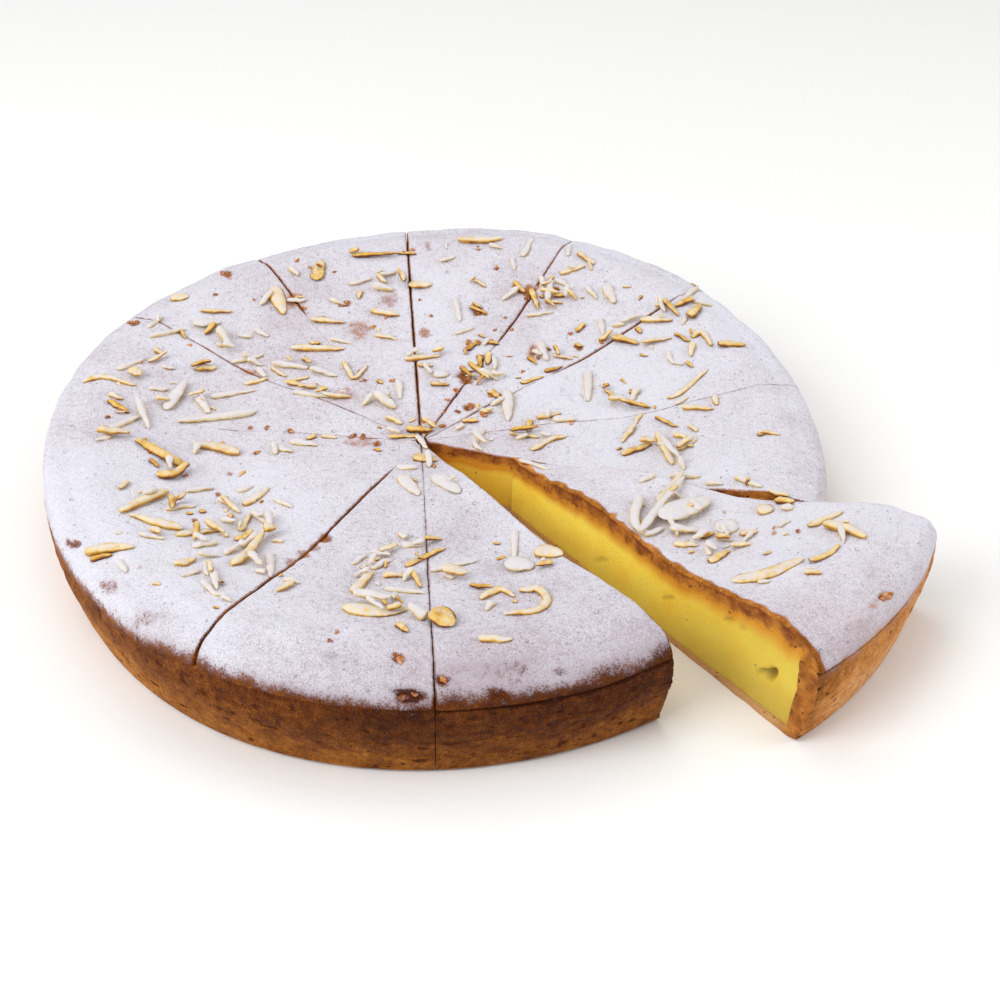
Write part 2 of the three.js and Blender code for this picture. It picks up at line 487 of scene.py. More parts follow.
crust = {
    # the grains are the sugar's lumps: real grains are finer than a pixel
    "patterns": {"grains": (0.5, 1, 0.5), "clumps": (2.2, 2, 0.6), "patches": (17, 2, 0.5),
                 "blotches": (5.5, 1, 0.5)},
    "streak": (0.6, 0.6, 1.5), "streakSize": 4,
    "bare": [(0.0, "#E2AC7A"), (0.25, "#C98540"), (0.5, "#9C5E20"), (0.75, "#6C3811"), (1.0, "#3E1A07")],
    # sugarShade greys the powder towards its edge: partly thin powder, partly painted shade where the
    # shoulder turns away
    "sugarThick": "#E0E0EA", "sugarThin": "#BEB0B9", "sugarShade": "#AB959E",
    # pit colour: partly the darker crust inside, partly painted shade in the hollows
    "pits": [(7, 1.0, 0.16), (2.3, 0.45, 0.16)], "pit": "#54281A", "pitStrength": 0.85,
}


def sugaredShortcrust():
    # Baked shortcrust under icing sugar: dull golden to dark brown crust with small burst pits,
    # and a soft white powder over it that clumps, thins out in speckles and shows the crust. The pits
    # are darkened partly as darker crust, partly with painted shade, and the wall's colour field also
    # carries painted shade on the front and in the groove under the lid's edge.
    fields = ("sugar", "bakeAndShade", "thin", "pit")
    material, tree, made = startMaterial("shortcrustWithIcingSugar", crust["patterns"], fields)
    place, grains, clumps = made["place"], made["grains"], made["clumps"]
    stretched = addNode(tree, "Mapping", {0: place, 3: crust["streak"]})
    scale = 1 / (crust["streakSize"] * mm)
    streaks = addNode(tree, "TexNoise", {"Vector": stretched, "Scale": scale, "Detail": 3})
    brown = mottled(tree, made["bakeAndShade"], [
        (made["patches"], 0.3), (streaks, 0.2), (grains, 0.5), (clumps, 0.45), (made["blotches"], 0.3),
    ])
    bare = addNode(tree, "ValToRGB", {0: brown}, stops=crust["bare"])
    burst = addNode(tree, "MapRange", {0: made["pit"], 1: 0.35, 2: 0.9}, **smooth)
    pits = addNode(tree, "Math", {0: spots(tree, place, crust["pits"]), 1: burst}, operation="MAXIMUM")
    pitShare = addNode(tree, "Math", {0: pits, 1: crust["pitStrength"]}, operation="MULTIPLY")
    bare = layered(tree, bare, [(pitShare, crust["pit"])])

    thin = mottled(tree, made["thin"], [(clumps, 0.9), (grains, 1.7)])
    thin = addNode(tree, "MapRange", {0: thin, 1: 0.05, 2: 1.35}, **smooth)
    cover = mottled(tree, made["sugar"], [(grains, 0.9), (clumps, 0.8)])
    # towards the sugar's edge: partly thin powder, partly painted shade
    edge = addNode(tree, "MapRange", {0: cover, 1: 0.9, 2: 0.3}, **smooth)
    powder = addNode(tree, "Mix", {0: thin, 6: crust["sugarThick"], 7: crust["sugarThin"]}, data_type="RGBA")
    powder = layered(tree, powder, [(edge, crust["sugarShade"])])
    mask = addNode(tree, "MapRange", {0: cover, 1: 0.18, 2: 0.88}, **smooth)
    dense = addNode(tree, "MapRange", {0: thin, 3: 0.985, 4: 0.86}, **smooth)
    opacity = addNode(tree, "Math", {0: mask, 1: dense}, operation="MULTIPLY")

    height = addNode(tree, "Math", {0: clumps, 1: 1.5, 2: grains}, operation="MULTIPLY_ADD")
    height = addNode(tree, "Math", {0: pits, 1: -1.5, 2: height}, operation="MULTIPLY_ADD")
    finishMaterial(tree, {
        "Base Color": layered(tree, bare, [(opacity, powder)]),
        "Roughness": addNode(tree, "MapRange", {0: opacity, 3: 0.6, 4: 0.95}, **smooth),
        "Specular IOR Level": 0.08,
    }, height, 0.4)
    return material


openCrumb = {
    "patterns": {"grain": (1.0, 3, 0.65), "patches": (4.5, 2, 0.5)},
    "warm": [(0.3, "#C07C30"), (0.48, "#A86526"), (0.7, "#7A421B")],
    "underSugar": "#74361A", "byCustard": "#D8952F", "pale": "#C99A66", "flour": "#DCA060",
    "pores": [(2.1, 0.5, 0.3), (5.5, 0.9, 0.3)], "poreShade": "#5E2A12", "poreStrength": 0.85,
}


def cutShortcrust():
    # The shortcrust where the knife went through: short, open crumb, orange-brown, darker under
    # the sugar, golden where it meets the custard, with paler flour specks and small pores darkened
    # with painted shade.
    material, tree, made = startMaterial("cutShortcrust", openCrumb["patterns"], ("depth", "pale"))
    warm = addNode(tree, "ValToRGB", {0: made["patches"]}, stops=openCrumb["warm"])
    depth = mottled(tree, made["depth"], [(made["patches"], -0.7)])
    pores = spots(tree, made["place"], openCrumb["pores"])
    underSugar = addNode(tree, "MapRange", {0: depth, 1: 0.3, 2: -0.05, 4: 0.75}, **smooth)
    byCustard = addNode(tree, "MapRange", {0: depth, 1: 0.5, 2: 1.0}, **smooth)
    flour = addNode(tree, "MapRange", {0: made["grain"], 1: 0.56, 2: 0.74, 4: 0.5}, **smooth)
    dark = addNode(tree, "Math", {0: pores, 1: openCrumb["poreStrength"]}, operation="MULTIPLY")
    colour = layered(tree, warm, [
        (underSugar, openCrumb["underSugar"]), (byCustard, openCrumb["byCustard"]),
        (made["pale"], openCrumb["pale"]), (flour, openCrumb["flour"]), (dark, openCrumb["poreShade"]),
    ])
    height = addNode(tree, "Math", {0: pores, 1: -0.8, 2: made["grain"]}, operation="MULTIPLY_ADD")
    finishMaterial(tree, {"Base Color": colour, "Roughness": 0.8, "Specular IOR Level": 0.2}, height, 0.7)
    return material


filling = {
    "patterns": {"cloud": (12, 2, 0.5), "fine": (0.9, 3, 0.7)},
    "yellow": [(0.3, "#FFEA60"), (0.5, "#FFE556"), (0.7, "#FFDB4A")],
    # the shaded colour is painted shade, laid on outwards, down the cut and in the gap
    "shaded": "#BC9E38", "crustwardAndGapShade": "#DC952A", "speckle": "#D2A840",
    # bubbles and the pressed marks are darkened with painted shade
    "bubbles": [(6, 0.5, 0.35)], "bubbleShade": "#7A5E1A", "bubbleStrength": 0.85,
}


def bakedCustard():
    # Baked egg custard: dense, yellow, a little moist, and light goes some way into it. The cut
    # is smooth, with faint clouds and specks, drag marks and a few small bubbles. Painted shade
    # darkens it outwards and down, in the gap by the drawn slice's tip, and in its bubbles and dents.
    fields = ("shaded", "crustwardAndGapShade", "holeShade")
    material, tree, made = startMaterial("bakedEggCustard", filling["patterns"], fields)
    yellow = addNode(tree, "ValToRGB", {0: made["cloud"]}, stops=filling["yellow"])
    bubbles = spots(tree, made["place"], filling["bubbles"])
    bubbles = addNode(tree, "Math", {0: bubbles, 1: made["holeShade"]}, operation="MAXIMUM")
    bubbles = addNode(tree, "Math", {0: bubbles, 1: filling["bubbleStrength"]}, operation="MULTIPLY")
    speckle = addNode(tree, "MapRange", {0: made["fine"], 1: 0.5, 2: 0.72, 4: 0.35}, **smooth)
    colour = layered(tree, yellow, [
        (made["shaded"], filling["shaded"]), (made["crustwardAndGapShade"], filling["crustwardAndGapShade"]),
        (speckle, filling["speckle"]), (bubbles, filling["bubbleShade"]),
    ])
    height = addNode(tree, "Math", {0: made["fine"], 1: made["cloud"]}, operation="ADD")
    finishMaterial(tree, {
        "Base Color": colour, "Roughness": 0.55, "Specular IOR Level": 0.35,
        "Subsurface Weight": 0.2, "Subsurface Radius": (1.0, 0.6, 0.15), "Subsurface Scale": 0.003,
    }, height, 0.3)
    return material


crustMaterial = sugaredShortcrust()
crumbMaterial = cutShortcrust()
custardMaterial = bakedCustard()
print("materials made")

sugar = {
    # the height that the sugar comes down to, as (degrees round the tart, mm)
    "reach": [(0, 21), (175, 21.5), (209, 26.3), (240, 31.2), (258, 30.6), (269, 30.2), (270, 32.4),
              (300, 32.4), (330, 25), (360, 21)],
    "drawnReach": 26.0, "drawnLean": 2.5,
    "softness": 4.6, "edge": [(1.3, 12, 31), (0.8, 4, 32)],
    # where it lies thin: 0 is thick, 1 thin; towards the front this is partly thinner sugar, partly painted
    # shade
    "thin": 0.26, "thinPatches": [(0.2, 30, 9), (0.14, 9, 10)], "thinAtTheBack": 0.2,
    "thinAndShadedAtFront": 0.2, "thinAndShadedFrontRim": 0.45, "rimShares": (0.72, 1),
    "thinMiddle": 0.15, "middleShares": (0.5, 0.1),
}
# How brown the crust is: 0 is pale, 1 nearly black. It darkens up the wall between these heights, and
# painted shade darkens the wall that faces the front.
browningAndShade = {
    "foot": 0.38, "upTheWall": 0.26, "heights": (3, 24), "shadeTowardsFront": 0.26,
    "drawnFoot": 0.12, "drawnUpTheWall": 0.2, "drawnHeights": (10, 26),
    "drawnCorner": 0.28, "drawnCornerSides": (0.78, 1),
    "onTheLid": 0.72, "frontAngle": -72, "backAngle": 120,
}
# Burst spots and dents of the lid, as pixel, half sizes in pixels, depth in mm, and how bare.
lidMarks = {
    "seated": [
        (408, 697, 23, 11, 1.9, 1.0), (399, 659, 9, 8, 0.3, 0.8), (443, 680, 9, 7, 1.0, 1.0),
        (73, 543, 11, 6, 0.9, 0.8), (108, 586, 13, 10, 0.5, 0.5), (147, 618, 20, 13, 0.4, 0.4),
        (499, 694, 14, 8, 0.5, 0.5), (560, 672, 12, 6, 0.3, 0.4), (330, 655, 14, 7, 0.2, 0.3),
        (135, 322, 9, 4, 0.5, 0.7), (345, 304, 8, 4, 0.5, 0.7), (571, 388, 14, 12, 1.2, 0.0),
        (527, 291, 12, 8, 0.6, 0.8), (478, 311, 9, 7, 0.8, 0.8), (466, 376, 12, 9, 0.8, 0.9),
        (428, 246, 4, 8, 0.5, 0.5), (496, 269, 4, 3, 0.6, 0.5), (481, 362, 4, 9, 0.5, 0.9),
        (533, 350, 6, 10, 0.6, 0.6), (579, 348, 5, 4, 0.5, 0.8), (425, 332, 10, 8, 0.4, 0.6),
        (218, 494, 5, 4, 0.5, 0.8), (195, 520, 5, 4, 0.8, 0.9), (230, 473, 5, 4, 0.4, 0.5),
        (634, 392, 6, 4, 0.5, 0.7), (469, 407, 9, 5, 0.9, 0.9), (292, 300, 10, 12, 0.5, 0.7),
        (228, 276, 6, 5, 0.2, 0.9), (360, 330, 18, 12, 0.4, 0.5), (388, 300, 14, 10, 0.3, 0.5),
        (345, 395, 18, 10, 0.3, 0.4), (250, 372, 16, 6, 0.3, 0.4), (360, 441, 24, 7, 0.5, 0.45),
        (140, 567, 4, 3, 0.4, 0.4), (500, 668, 60, 12, 0.0, 0.16), (325, 537, 8, 6, 0.8, 0.8),
        (314, 547, 9, 6, 0.5, 0.5), (303, 554, 9, 6, 0.5, 0.5), (291, 562, 9, 6, 0.5, 0.5),
    ],
    "drawn": [
        (885, 596, 11, 8, 1.4, 0.95), (873, 606, 8, 6, 0.3, 0.5), (733, 484, 3, 3, 0.6, 0.6),
        (725, 511, 3, 3, 0.6, 0.6), (774, 531, 3, 3, 0.8, 0.7), (798, 531, 4, 3, 0.8, 0.7),
        (846, 583, 10, 16, 0.8, 0.0), (513, 466, 6, 8, 0.0, 0.9),
    ],
    "ragged": [(0.5, 2.2, 77)], "fade": (1.1, 0.3), "bareness": 0.85,
}


def markField(place, points):        # how deep and how bare the marks make each point
    x, y = pixelsOf(points)
    depth, bare = 0 * x, 0 * x
    ragged = 1.05 + roughness(points, lidMarks["ragged"])
    marks = lidMarks["drawn" if isDrawn(place) else "seated"]
    for markX, markY, halfWidth, halfHeight, markDepth, markBare in marks:
        distance = np.hypot((x - markX) / halfWidth, (y - markY) / halfHeight)
        inside = smoothStep(*lidMarks["fade"], distance * ragged)
        depth = np.maximum(depth, markDepth * inside)
        bare = np.maximum(bare, lidMarks["bareness"] * markBare * inside)
    return depth, bare


def facing(place, block, degrees):   # 1 on the side of the tart at that angle, 0 on the other half
    return np.maximum(0, np.cos(place["angleAt"](block["side"]) - math.radians(degrees)))


def sugarCover(place, block):        # 1 under thick sugar, 0 on the bare wall
    reach = np.interp(np.degrees(place["angleAt"](block["side"])) % 360, *zip(*sugar["reach"]))
    if isDrawn(place):
        reach = sugar["drawnReach"] + sugar["drawnLean"] * block["side"]
    reach = reach + roughness(block["points"], sugar["edge"])
    cover = smoothStep(reach - sugar["softness"], reach + sugar["softness"], block["plainHeight"])
    return np.where(block["share"] > tart["foldStart"], cover, 1)


def bakedBrownAndShade(place, block):
    height, side = block["plainHeight"], block["side"]
    if isDrawn(place):
        corner = browningAndShade["drawnCorner"] * smoothStep(*browningAndShade["drawnCornerSides"], side)
        upTheWall = browningAndShade["drawnUpTheWall"] * smoothStep(*browningAndShade["drawnHeights"], height)
        return browningAndShade["drawnFoot"] + upTheWall + corner
    # painted shade on the wall that faces the front
    front = browningAndShade["shadeTowardsFront"] * facing(place, block, browningAndShade["frontAngle"]) ** 2
    return browningAndShade["foot"] + browningAndShade["upTheWall"] * smoothStep(*browningAndShade["heights"], height) + front


def thinSugarAndFrontShade(place, block):
    back = facing(place, block, browningAndShade["backAngle"])
    front = facing(place, block, browningAndShade["frontAngle"]) ** 2
    rim = smoothStep(*sugar["rimShares"], block["share"])
    thin = sugar["thin"] + roughness(block["points"], sugar["thinPatches"]) + sugar["thinAtTheBack"] * back
    # towards the front: partly thinner sugar, partly painted shade
    thin = thin + front * (sugar["thinAndShadedAtFront"] + sugar["thinAndShadedFrontRim"] * rim)
    return thin + sugar["thinMiddle"] * smoothStep(*sugar["middleShares"], block["share"])


lid = {
    "uneven": [(0.7, 21, 1), (0.35, 7, 2), (0.14, 2.4, 3)],
    "tipRise": 1.8, "tipShare": 0.045,
    # the underside hangs lower in waves, more by the gap and in the corner over the wall
    "sag": 0.5, "sagWaves": [(0.9, 9, 5), (0.9, 3.5, 6)], "sagByTheGap": {3: 1.1, 4: 1.6},
    "sagEndsAfter": 0.08, "cornerSag": 2.6, "cornerShare": 0.91, "cornerWidth": 0.035,
    # the rim of a cut is rounded over this many mm, and frayed on the drawn slice's near side
    "edgeReach": 1.2, "edgeWaves": [(0.35, 3, 4)], "closedRounding": 0.02, "openRounding": 0.68,
    "frayed": [(0.7, 3.4, 8)], "frayedReach": 6,
    "lip": 0.45, "lipShares": (0.985, 0.999),
    # where the cut's edge has lost its sugar
    "wornReach": 0.7, "wornFrayed": 1.7, "wornWaves": [(1.6, 3.5, 51)], "worn": 0.6, "wornMore": 0.5,
    # the deeper bare marks darken as pits: partly darker crust, partly painted shade
    "pitDepths": (0.6, 1.1), "bareOverPit": 0.5,
    "seamFade": 4,                   # mm over which lid and wall grow even towards the seam
}


def lidSag(place, block):            # how far the lid's underside hangs below its plain line
    corner = lid["cornerSag"] * np.exp(-((block["share"] - lid["cornerShare"]) / lid["cornerWidth"]) ** 2)
    wave = lid["sag"] + roughness(block["points"] * [1, 1, 0], lid["sagWaves"])
    wave = wave + lid["sagByTheGap"].get(place["index"], 0)
    sagEnd = tart["foldStart"] + lid["sagEndsAfter"]
    return corner + wave * smoothStep(sagEnd, tart["foldStart"], block["share"])


def makeLid(place):
    outer = topLine(detail["rows"])
    block = wedgeBlock(place, outer, underLine(outer), detail["lidLayers"], detail["lidColumns"])
    points = block["points"]
    across = np.linspace(0, 1, points.shape[1])[:, None]
    points[..., 2] -= across * lidSag(place, block)
    points[..., 2] += lid["tipRise"] * isDrawn(place) * smoothStep(lid["tipShare"], 0, block["share"])
    normals = -sheetNormals(points[:, 0])[:, None]
    top, fromCut = points[:, :1], block["fromCut"][:, :1]
    depth, bare = markField(place, top)
    openness = cutOpenness(place, block["share"], block["side"])
    frayed = isDrawn(place) * (block["side"] > 0.5)
    uneven = frayed[:, :1] * smoothStep(lid["frayedReach"], 0, fromCut) * roughness(top, lid["frayed"])
    uneven = uneven + roughness(top, lid["uneven"])
    aboveSeam = np.abs(block["plainHeight"][:, :1] - tart["seamHeight"])
    uneven = uneven * smoothStep(0, lid["seamFade"], aboveSeam)
    rounding = np.clip(1 - fromCut / (lid["edgeReach"] + roughness(top, lid["edgeWaves"])), 0, 1) ** 2
    rounding = rounding * (lid["closedRounding"] + lid["openRounding"] * openness[:, :1])
    lip = lid["lip"] * smoothStep(*lid["lipShares"], block["share"][:, :1] / outer[-1, 0])
    lip = lip * isByTheGap(place)
    points += normals * (uneven - rounding - depth + lip)[..., None] * (1 - across[..., None])
    wornReach = lid["wornFrayed"] + roughness(points, lid["wornWaves"])
    wornReach = lid["wornReach"] + frayed * np.maximum(0, wornReach)
    wear = (lid["worn"] + lid["wornMore"] * frayed) * openness
    wear = wear * smoothStep(1, 0.2, block["fromCut"] / wornReach)
    roughenCuts(place, block, "crust", 40, openness)
    fields = {
        "sugar": sugarCover(place, block) - wear - bare,
        "bakeAndShade": bakedBrownAndShade(place, block) * np.where(block["share"] < 0.9, browningAndShade["onTheLid"], 1),
        "thin": thinSugarAndFrontShade(place, block),
        "pit": smoothStep(*lid["pitDepths"], depth + 0 * block["share"]) * (bare > lid["bareOverPit"]),
        "depth": across, "pale": np.zeros(1),
    }
    number = f"{place['index'] + 1:02d}"
    piece = blockPiece(f"sugaredLid_{number}", block, fields, lambda sheet: 0 if sheet == "outer" else 1)
    piece.data.materials.append(crustMaterial)
    piece.data.materials.append(crumbMaterial)
    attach(piece, "root")
    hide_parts(f"lid_{number}")
    return piece


filled = {
    # the bottom crust is thinner towards the middle, as (share of the radius, mm)
    "floor": [(0, 1.9), (0.62, 2.1), (0.85, tart["crustFloor"])],
    "wallFoot": 5.2,                 # the wall's thickness at its foot
    "wallBulge": 0.012, "bulgeShares": (0.8, 0.95), "roof": 0.2,
    # bubbles and scrapes in the cut that faces the camera, as pixel, half sizes and depth in mm
    "marks": [(770, 674, 8, 7, 2.6), (762, 671, 7, 4, 1.0), (728, 619, 7, 3, 0.6), (742, 628, 5, 4, 0.4),
              (600, 560, 8, 4, 0.5), (668, 598, 9, 3, 0.5)],
    "ragged": [(0.3, 1.5, 78)], "markReach": 3, "fade": (1.1, 0.3), "darkFrom": 1.5,
    # the colour warms under the lid, and near the tip of the slice beside the gap it takes painted shade;
    # painted shade also darkens it outwards and down
    "warmRoof": 0.95, "roofShare": 0.22, "gapShadeAtTip": 0.45, "tipShares": (0.4, 0.1),
    "paintedShadeOutwards": [(0.06, 0.04, 0.3), (0.42, 0.5, 0.85)], "paintedShadeDown": 0.42, "floorFrom": 0.35,
}


def floorHeight(share):
    return np.interp(share, *zip(*filled["floor"]))


def wallInner(height):
    outerShare = np.interp(height, [0, tart["widestHeight"], tart["seamHeight"]],
                           [tart["baseShare"], 1, topLine(100)[-1, 0]])
    thickness = np.interp(height, [tart["crustFloor"], tart["widestHeight"]],
                          [filled["wallFoot"], tart["wallThickness"]])
    return outerShare - thickness / tart["radius"]


# the deeper a mark, the more painted shade it gets
def pressCustardMarks(place, block):           # gives how dark the marks make each point
    x, y = pixelsOf(block["points"])
    onCut = smoothStep(filled["markReach"], 0, block["toLast"])
    inwards = np.array([-place["along"][1][1], place["along"][1][0], 0])
    holeShade = np.zeros(block["side"].shape)
    for markX, markY, halfWidth, halfHeight, depth in filled["marks"]:
        distance = np.hypot((x - markX) / halfWidth, (y - markY) / halfHeight)
        distance = distance * (1 + roughness(block["points"], filled["ragged"]))
        inside = smoothStep(*filled["fade"], distance) * onCut
        block["points"] = block["points"] + inwards * (inside * depth)[..., None]
        holeShade = np.maximum(holeShade, inside * min(1, depth / filled["darkFrom"]))
    return holeShade


def makeCustard(place):
    top = underLine(topLine(detail["rows"]))
    bottomShare = np.interp(top[:, 0], [0, 0.8, top[-1, 0]], [0, 0.8, wallInner(tart["crustFloor"])])
    bottom = np.stack([bottomShare, floorHeight(bottomShare)], -1)
    block = wedgeBlock(place, top, bottom, detail["custardLayers"], detail["custardColumns"])
    points = block["points"]
    across = np.linspace(0, 1, points.shape[1])[:, None]
    bulge = np.sin(math.pi * across) * smoothStep(*filled["bulgeShares"], block["share"])
    points[..., 2] -= (1 - across) * (lidSag(place, block) - filled["roof"])
    points[..., :2] *= 1 + filled["wallBulge"] * bulge[..., None]
    roughenCuts(place, block, "custard", 60)
    holeShade = pressCustardMarks(place, block) if isDrawn(place) else np.zeros(1)
    # near its tip the slice beside the gap gets painted shade in the crust's orange; under the lid the
    # warmer colour is the custard's own
    byTheTip = smoothStep(*filled["tipShares"], block["share"]) * (place["index"] == drawn["index"] - 1)
    # painted shade, darker towards the rim and towards the floor
    paintedShadeOutwards = sum(amount * smoothStep(low, high, block["share"]) for amount, low, high in filled["paintedShadeOutwards"])
    underTheLid = filled["warmRoof"] * smoothStep(filled["roofShare"], 0, across)
    fields = {
        "holeShade": holeShade,
        "crustwardAndGapShade": underTheLid + filled["gapShadeAtTip"] * byTheTip,
        "shaded": paintedShadeOutwards + filled["paintedShadeDown"] * smoothStep(filled["floorFrom"], 1, across),
    }
    number = f"{place['index'] + 1:02d}"
    piece = blockPiece(f"custard_{number}", block, fields, lambda sheet: 0)
    piece.data.materials.append(custardMaterial)
    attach(piece, "root")
    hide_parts(f"custard_{number}")
    return piece


wall = {
    "uneven": [(0.5, 16, 23), (0.25, 4.5, 24)], "floorFade": (0.3, 3),
    # creases run round the wall, where a stretched noise crosses zero, and pits are its rare peaks; the pits
    # are darkened partly as darker crust, partly with painted shade
    "creaseSize": [24, 3.4, 1], "creaseSeed": 21, "creaseWidth": 0.16, "crease": 0.3,
    "pitSize": 2.1, "pitSeed": 22, "pitFrom": 0.5, "pitDepth": 1.6, "pitDark": 5, "pitShares": (0.9, 0.95),
    # the lid's edge stands off the wall in a groove, opener by the gap, and the groove is darkened with
    # painted shade
    "grooveReach": (2.0, 0.2), "grooveSize": [9, 60, 1], "grooveSeed": 26, "grooveUneven": 0.8,
    "grooveDepth": 0.8, "crackSize": [30, 60, 1], "crackSeed": 25, "crack": 0.4, "crackFrom": (0.1, 0.6),
    "grooveBare": 0.6, "grooveShade": 0.25,
    "foot": 1.2, "footShare": 0.012, "flatRows": 34, "sugarFrom": 8,
    "cutDepth": 0.45, "paleHeights": (7, 3), "paleShares": (0.955, 0.9),
}


def wallLines():                     # the base's inner and outer line, with more rows on the wall
    foot = [(tart["tipShare"], 0), (tart["baseShare"] - wall["footShare"], 0),
            (tart["baseShare"], wall["foot"])]
    outer = np.vstack([np.array(foot, float), shoulderLine(seamTurn, math.pi / 2, 30)[::-1]])
    heights = np.linspace(tart["crustFloor"], tart["seamHeight"], 20)
    floorShares = np.array([tart["tipShare"], 0.3, 0.62, 0.74, 0.85])
    floorLine = np.stack([floorShares, floorHeight(floorShares)], -1)
    inner = np.vstack([floorLine, np.stack([wallInner(heights), heights], -1)])
    lines = []
    for line, turnAt in ((inner, len(floorShares)), (outer, len(foot) - 1)):
        flat = evenSteps(line[:turnAt + 1], wall["flatRows"])
        lines.append(np.vstack([flat, evenSteps(line[turnAt:], detail["wallRows"] + 1)[1:]]))
    return lines


def makeBase(place):
    block = wedgeBlock(place, *wallLines(), detail["wallLayers"], detail["baseColumns"])
    points = block["points"]
    across = np.linspace(0, 1, points.shape[1])[:, None]
    normals = sheetNormals(points[:, -1])[:, None]
    skin = points[:, -1:]
    belowSeam = tart["seamHeight"] - block["plainHeight"][:, -1:]
    rounds = np.arctan2(skin[..., 1], skin[..., 0]) * tart["radius"]
    aroundAndUp = np.stack([rounds, skin[..., 2], skin[..., 2] * 0], -1)
    creases = np.abs(lumps(aroundAndUp, wall["creaseSize"], wall["creaseSeed"]))
    creases = np.clip(1 - creases / wall["creaseWidth"], 0, 1)
    pits = np.clip(lumps(skin, wall["pitSize"], wall["pitSeed"]) - wall["pitFrom"], 0, 1)
    crack = smoothStep(*wall["crackFrom"], lumps(aroundAndUp, wall["crackSize"], wall["crackSeed"]))
    ragged = wall["grooveUneven"] * lumps(aroundAndUp, wall["grooveSize"], wall["grooveSeed"])
    groove = smoothStep(*wall["grooveReach"], belowSeam + ragged)
    groove = groove * (wall["crack"] * crack + isByTheGap(place))
    uneven = roughness(skin, wall["uneven"]) - wall["crease"] * creases - wall["pitDepth"] * pits
    uneven = uneven * smoothStep(0, lid["seamFade"], belowSeam) - wall["grooveDepth"] * groove
    offFloor = smoothStep(*wall["floorFade"], skin[..., 2])
    points += normals * (uneven * offFloor)[..., None] * across[..., None]
    openness = [wallCutsOpen.get((place["index"] + step) % sliceCount, closedWallCut) for step in (0, 1)]
    roughenCuts(place, block, "crust", 80, np.where(block["side"] < 0.5, *openness))
    height, share = block["plainHeight"], block["share"]
    fields = {
        "sugar": sugarCover(place, block) * (height > wall["sugarFrom"]) - wall["grooveBare"] * groove,
        # painted shade in the groove under the lid's edge
        "bakeAndShade": bakedBrownAndShade(place, block) + wall["grooveShade"] * groove,
        "thin": thinSugarAndFrontShade(place, block),
        "pit": np.clip(pits * wall["pitDark"], 0, 1) * smoothStep(*wall["pitShares"], share),
        "depth": np.full(1, wall["cutDepth"]),
        "pale": smoothStep(*wall["paleHeights"], height) * smoothStep(*wall["paleShares"], share),
    }
    number = f"{place['index'] + 1:02d}"
    piece = blockPiece(f"crustBase_{number}", block, fields, lambda sheet: 0 if sheet == "inner" else 1)
    piece.data.materials.append(crustMaterial)
    piece.data.materials.append(crumbMaterial)
    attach(piece, "root")
    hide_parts(f"base_{number}")
    return piece


lids = [makeLid(place) for place in places]
custards = [makeCustard(place) for place in places]
bases = [makeBase(place) for place in places]
print("slices made:", sum(len(piece.data.polygons) for piece in lids + custards + bases) * 2, "triangles")

# Almond pieces read from the photograph: pale, yellow, orange or brown, width in pixels, then the
# pixels that the piece runs through. Flakes are the wide ones.
almonds = {
    "tones": {"p": 0.05, "y": 0.45, "o": 0.75, "b": 1.0},
    "pixelWidth": 0.31,              # mm to a pixel, across
    "wider": 1.35, "slimmest": 2.0, "splinterPixels": 4,
    "flat": 0.66, "flakePixels": 11, "flakeThickness": 1.8,
    "sunk": 0.2, "steps": 7, "mostLift": 2.5, "core": 0.35,
    "rings": 13, "sides": 8, "ends": 0.42, "fullness": 3.8,
    "flakeEnds": 0.2, "flakeFullness": 2.6,
    "uneven": 0.36, "unevenSize": 3.0,
    "patterns": {"fibre": (2.2, 3, 0.5), "patches": (7, 1, 0.5), "powder": (1.8, 2, 0.5)},
    "flesh": [(0.0, "#EDE0C4"), (0.25, "#E8D096"), (0.5, "#DCB152"), (0.75, "#B87A35"), (1.0, "#74401F")],
    "dust": "#D6D2DA",
}
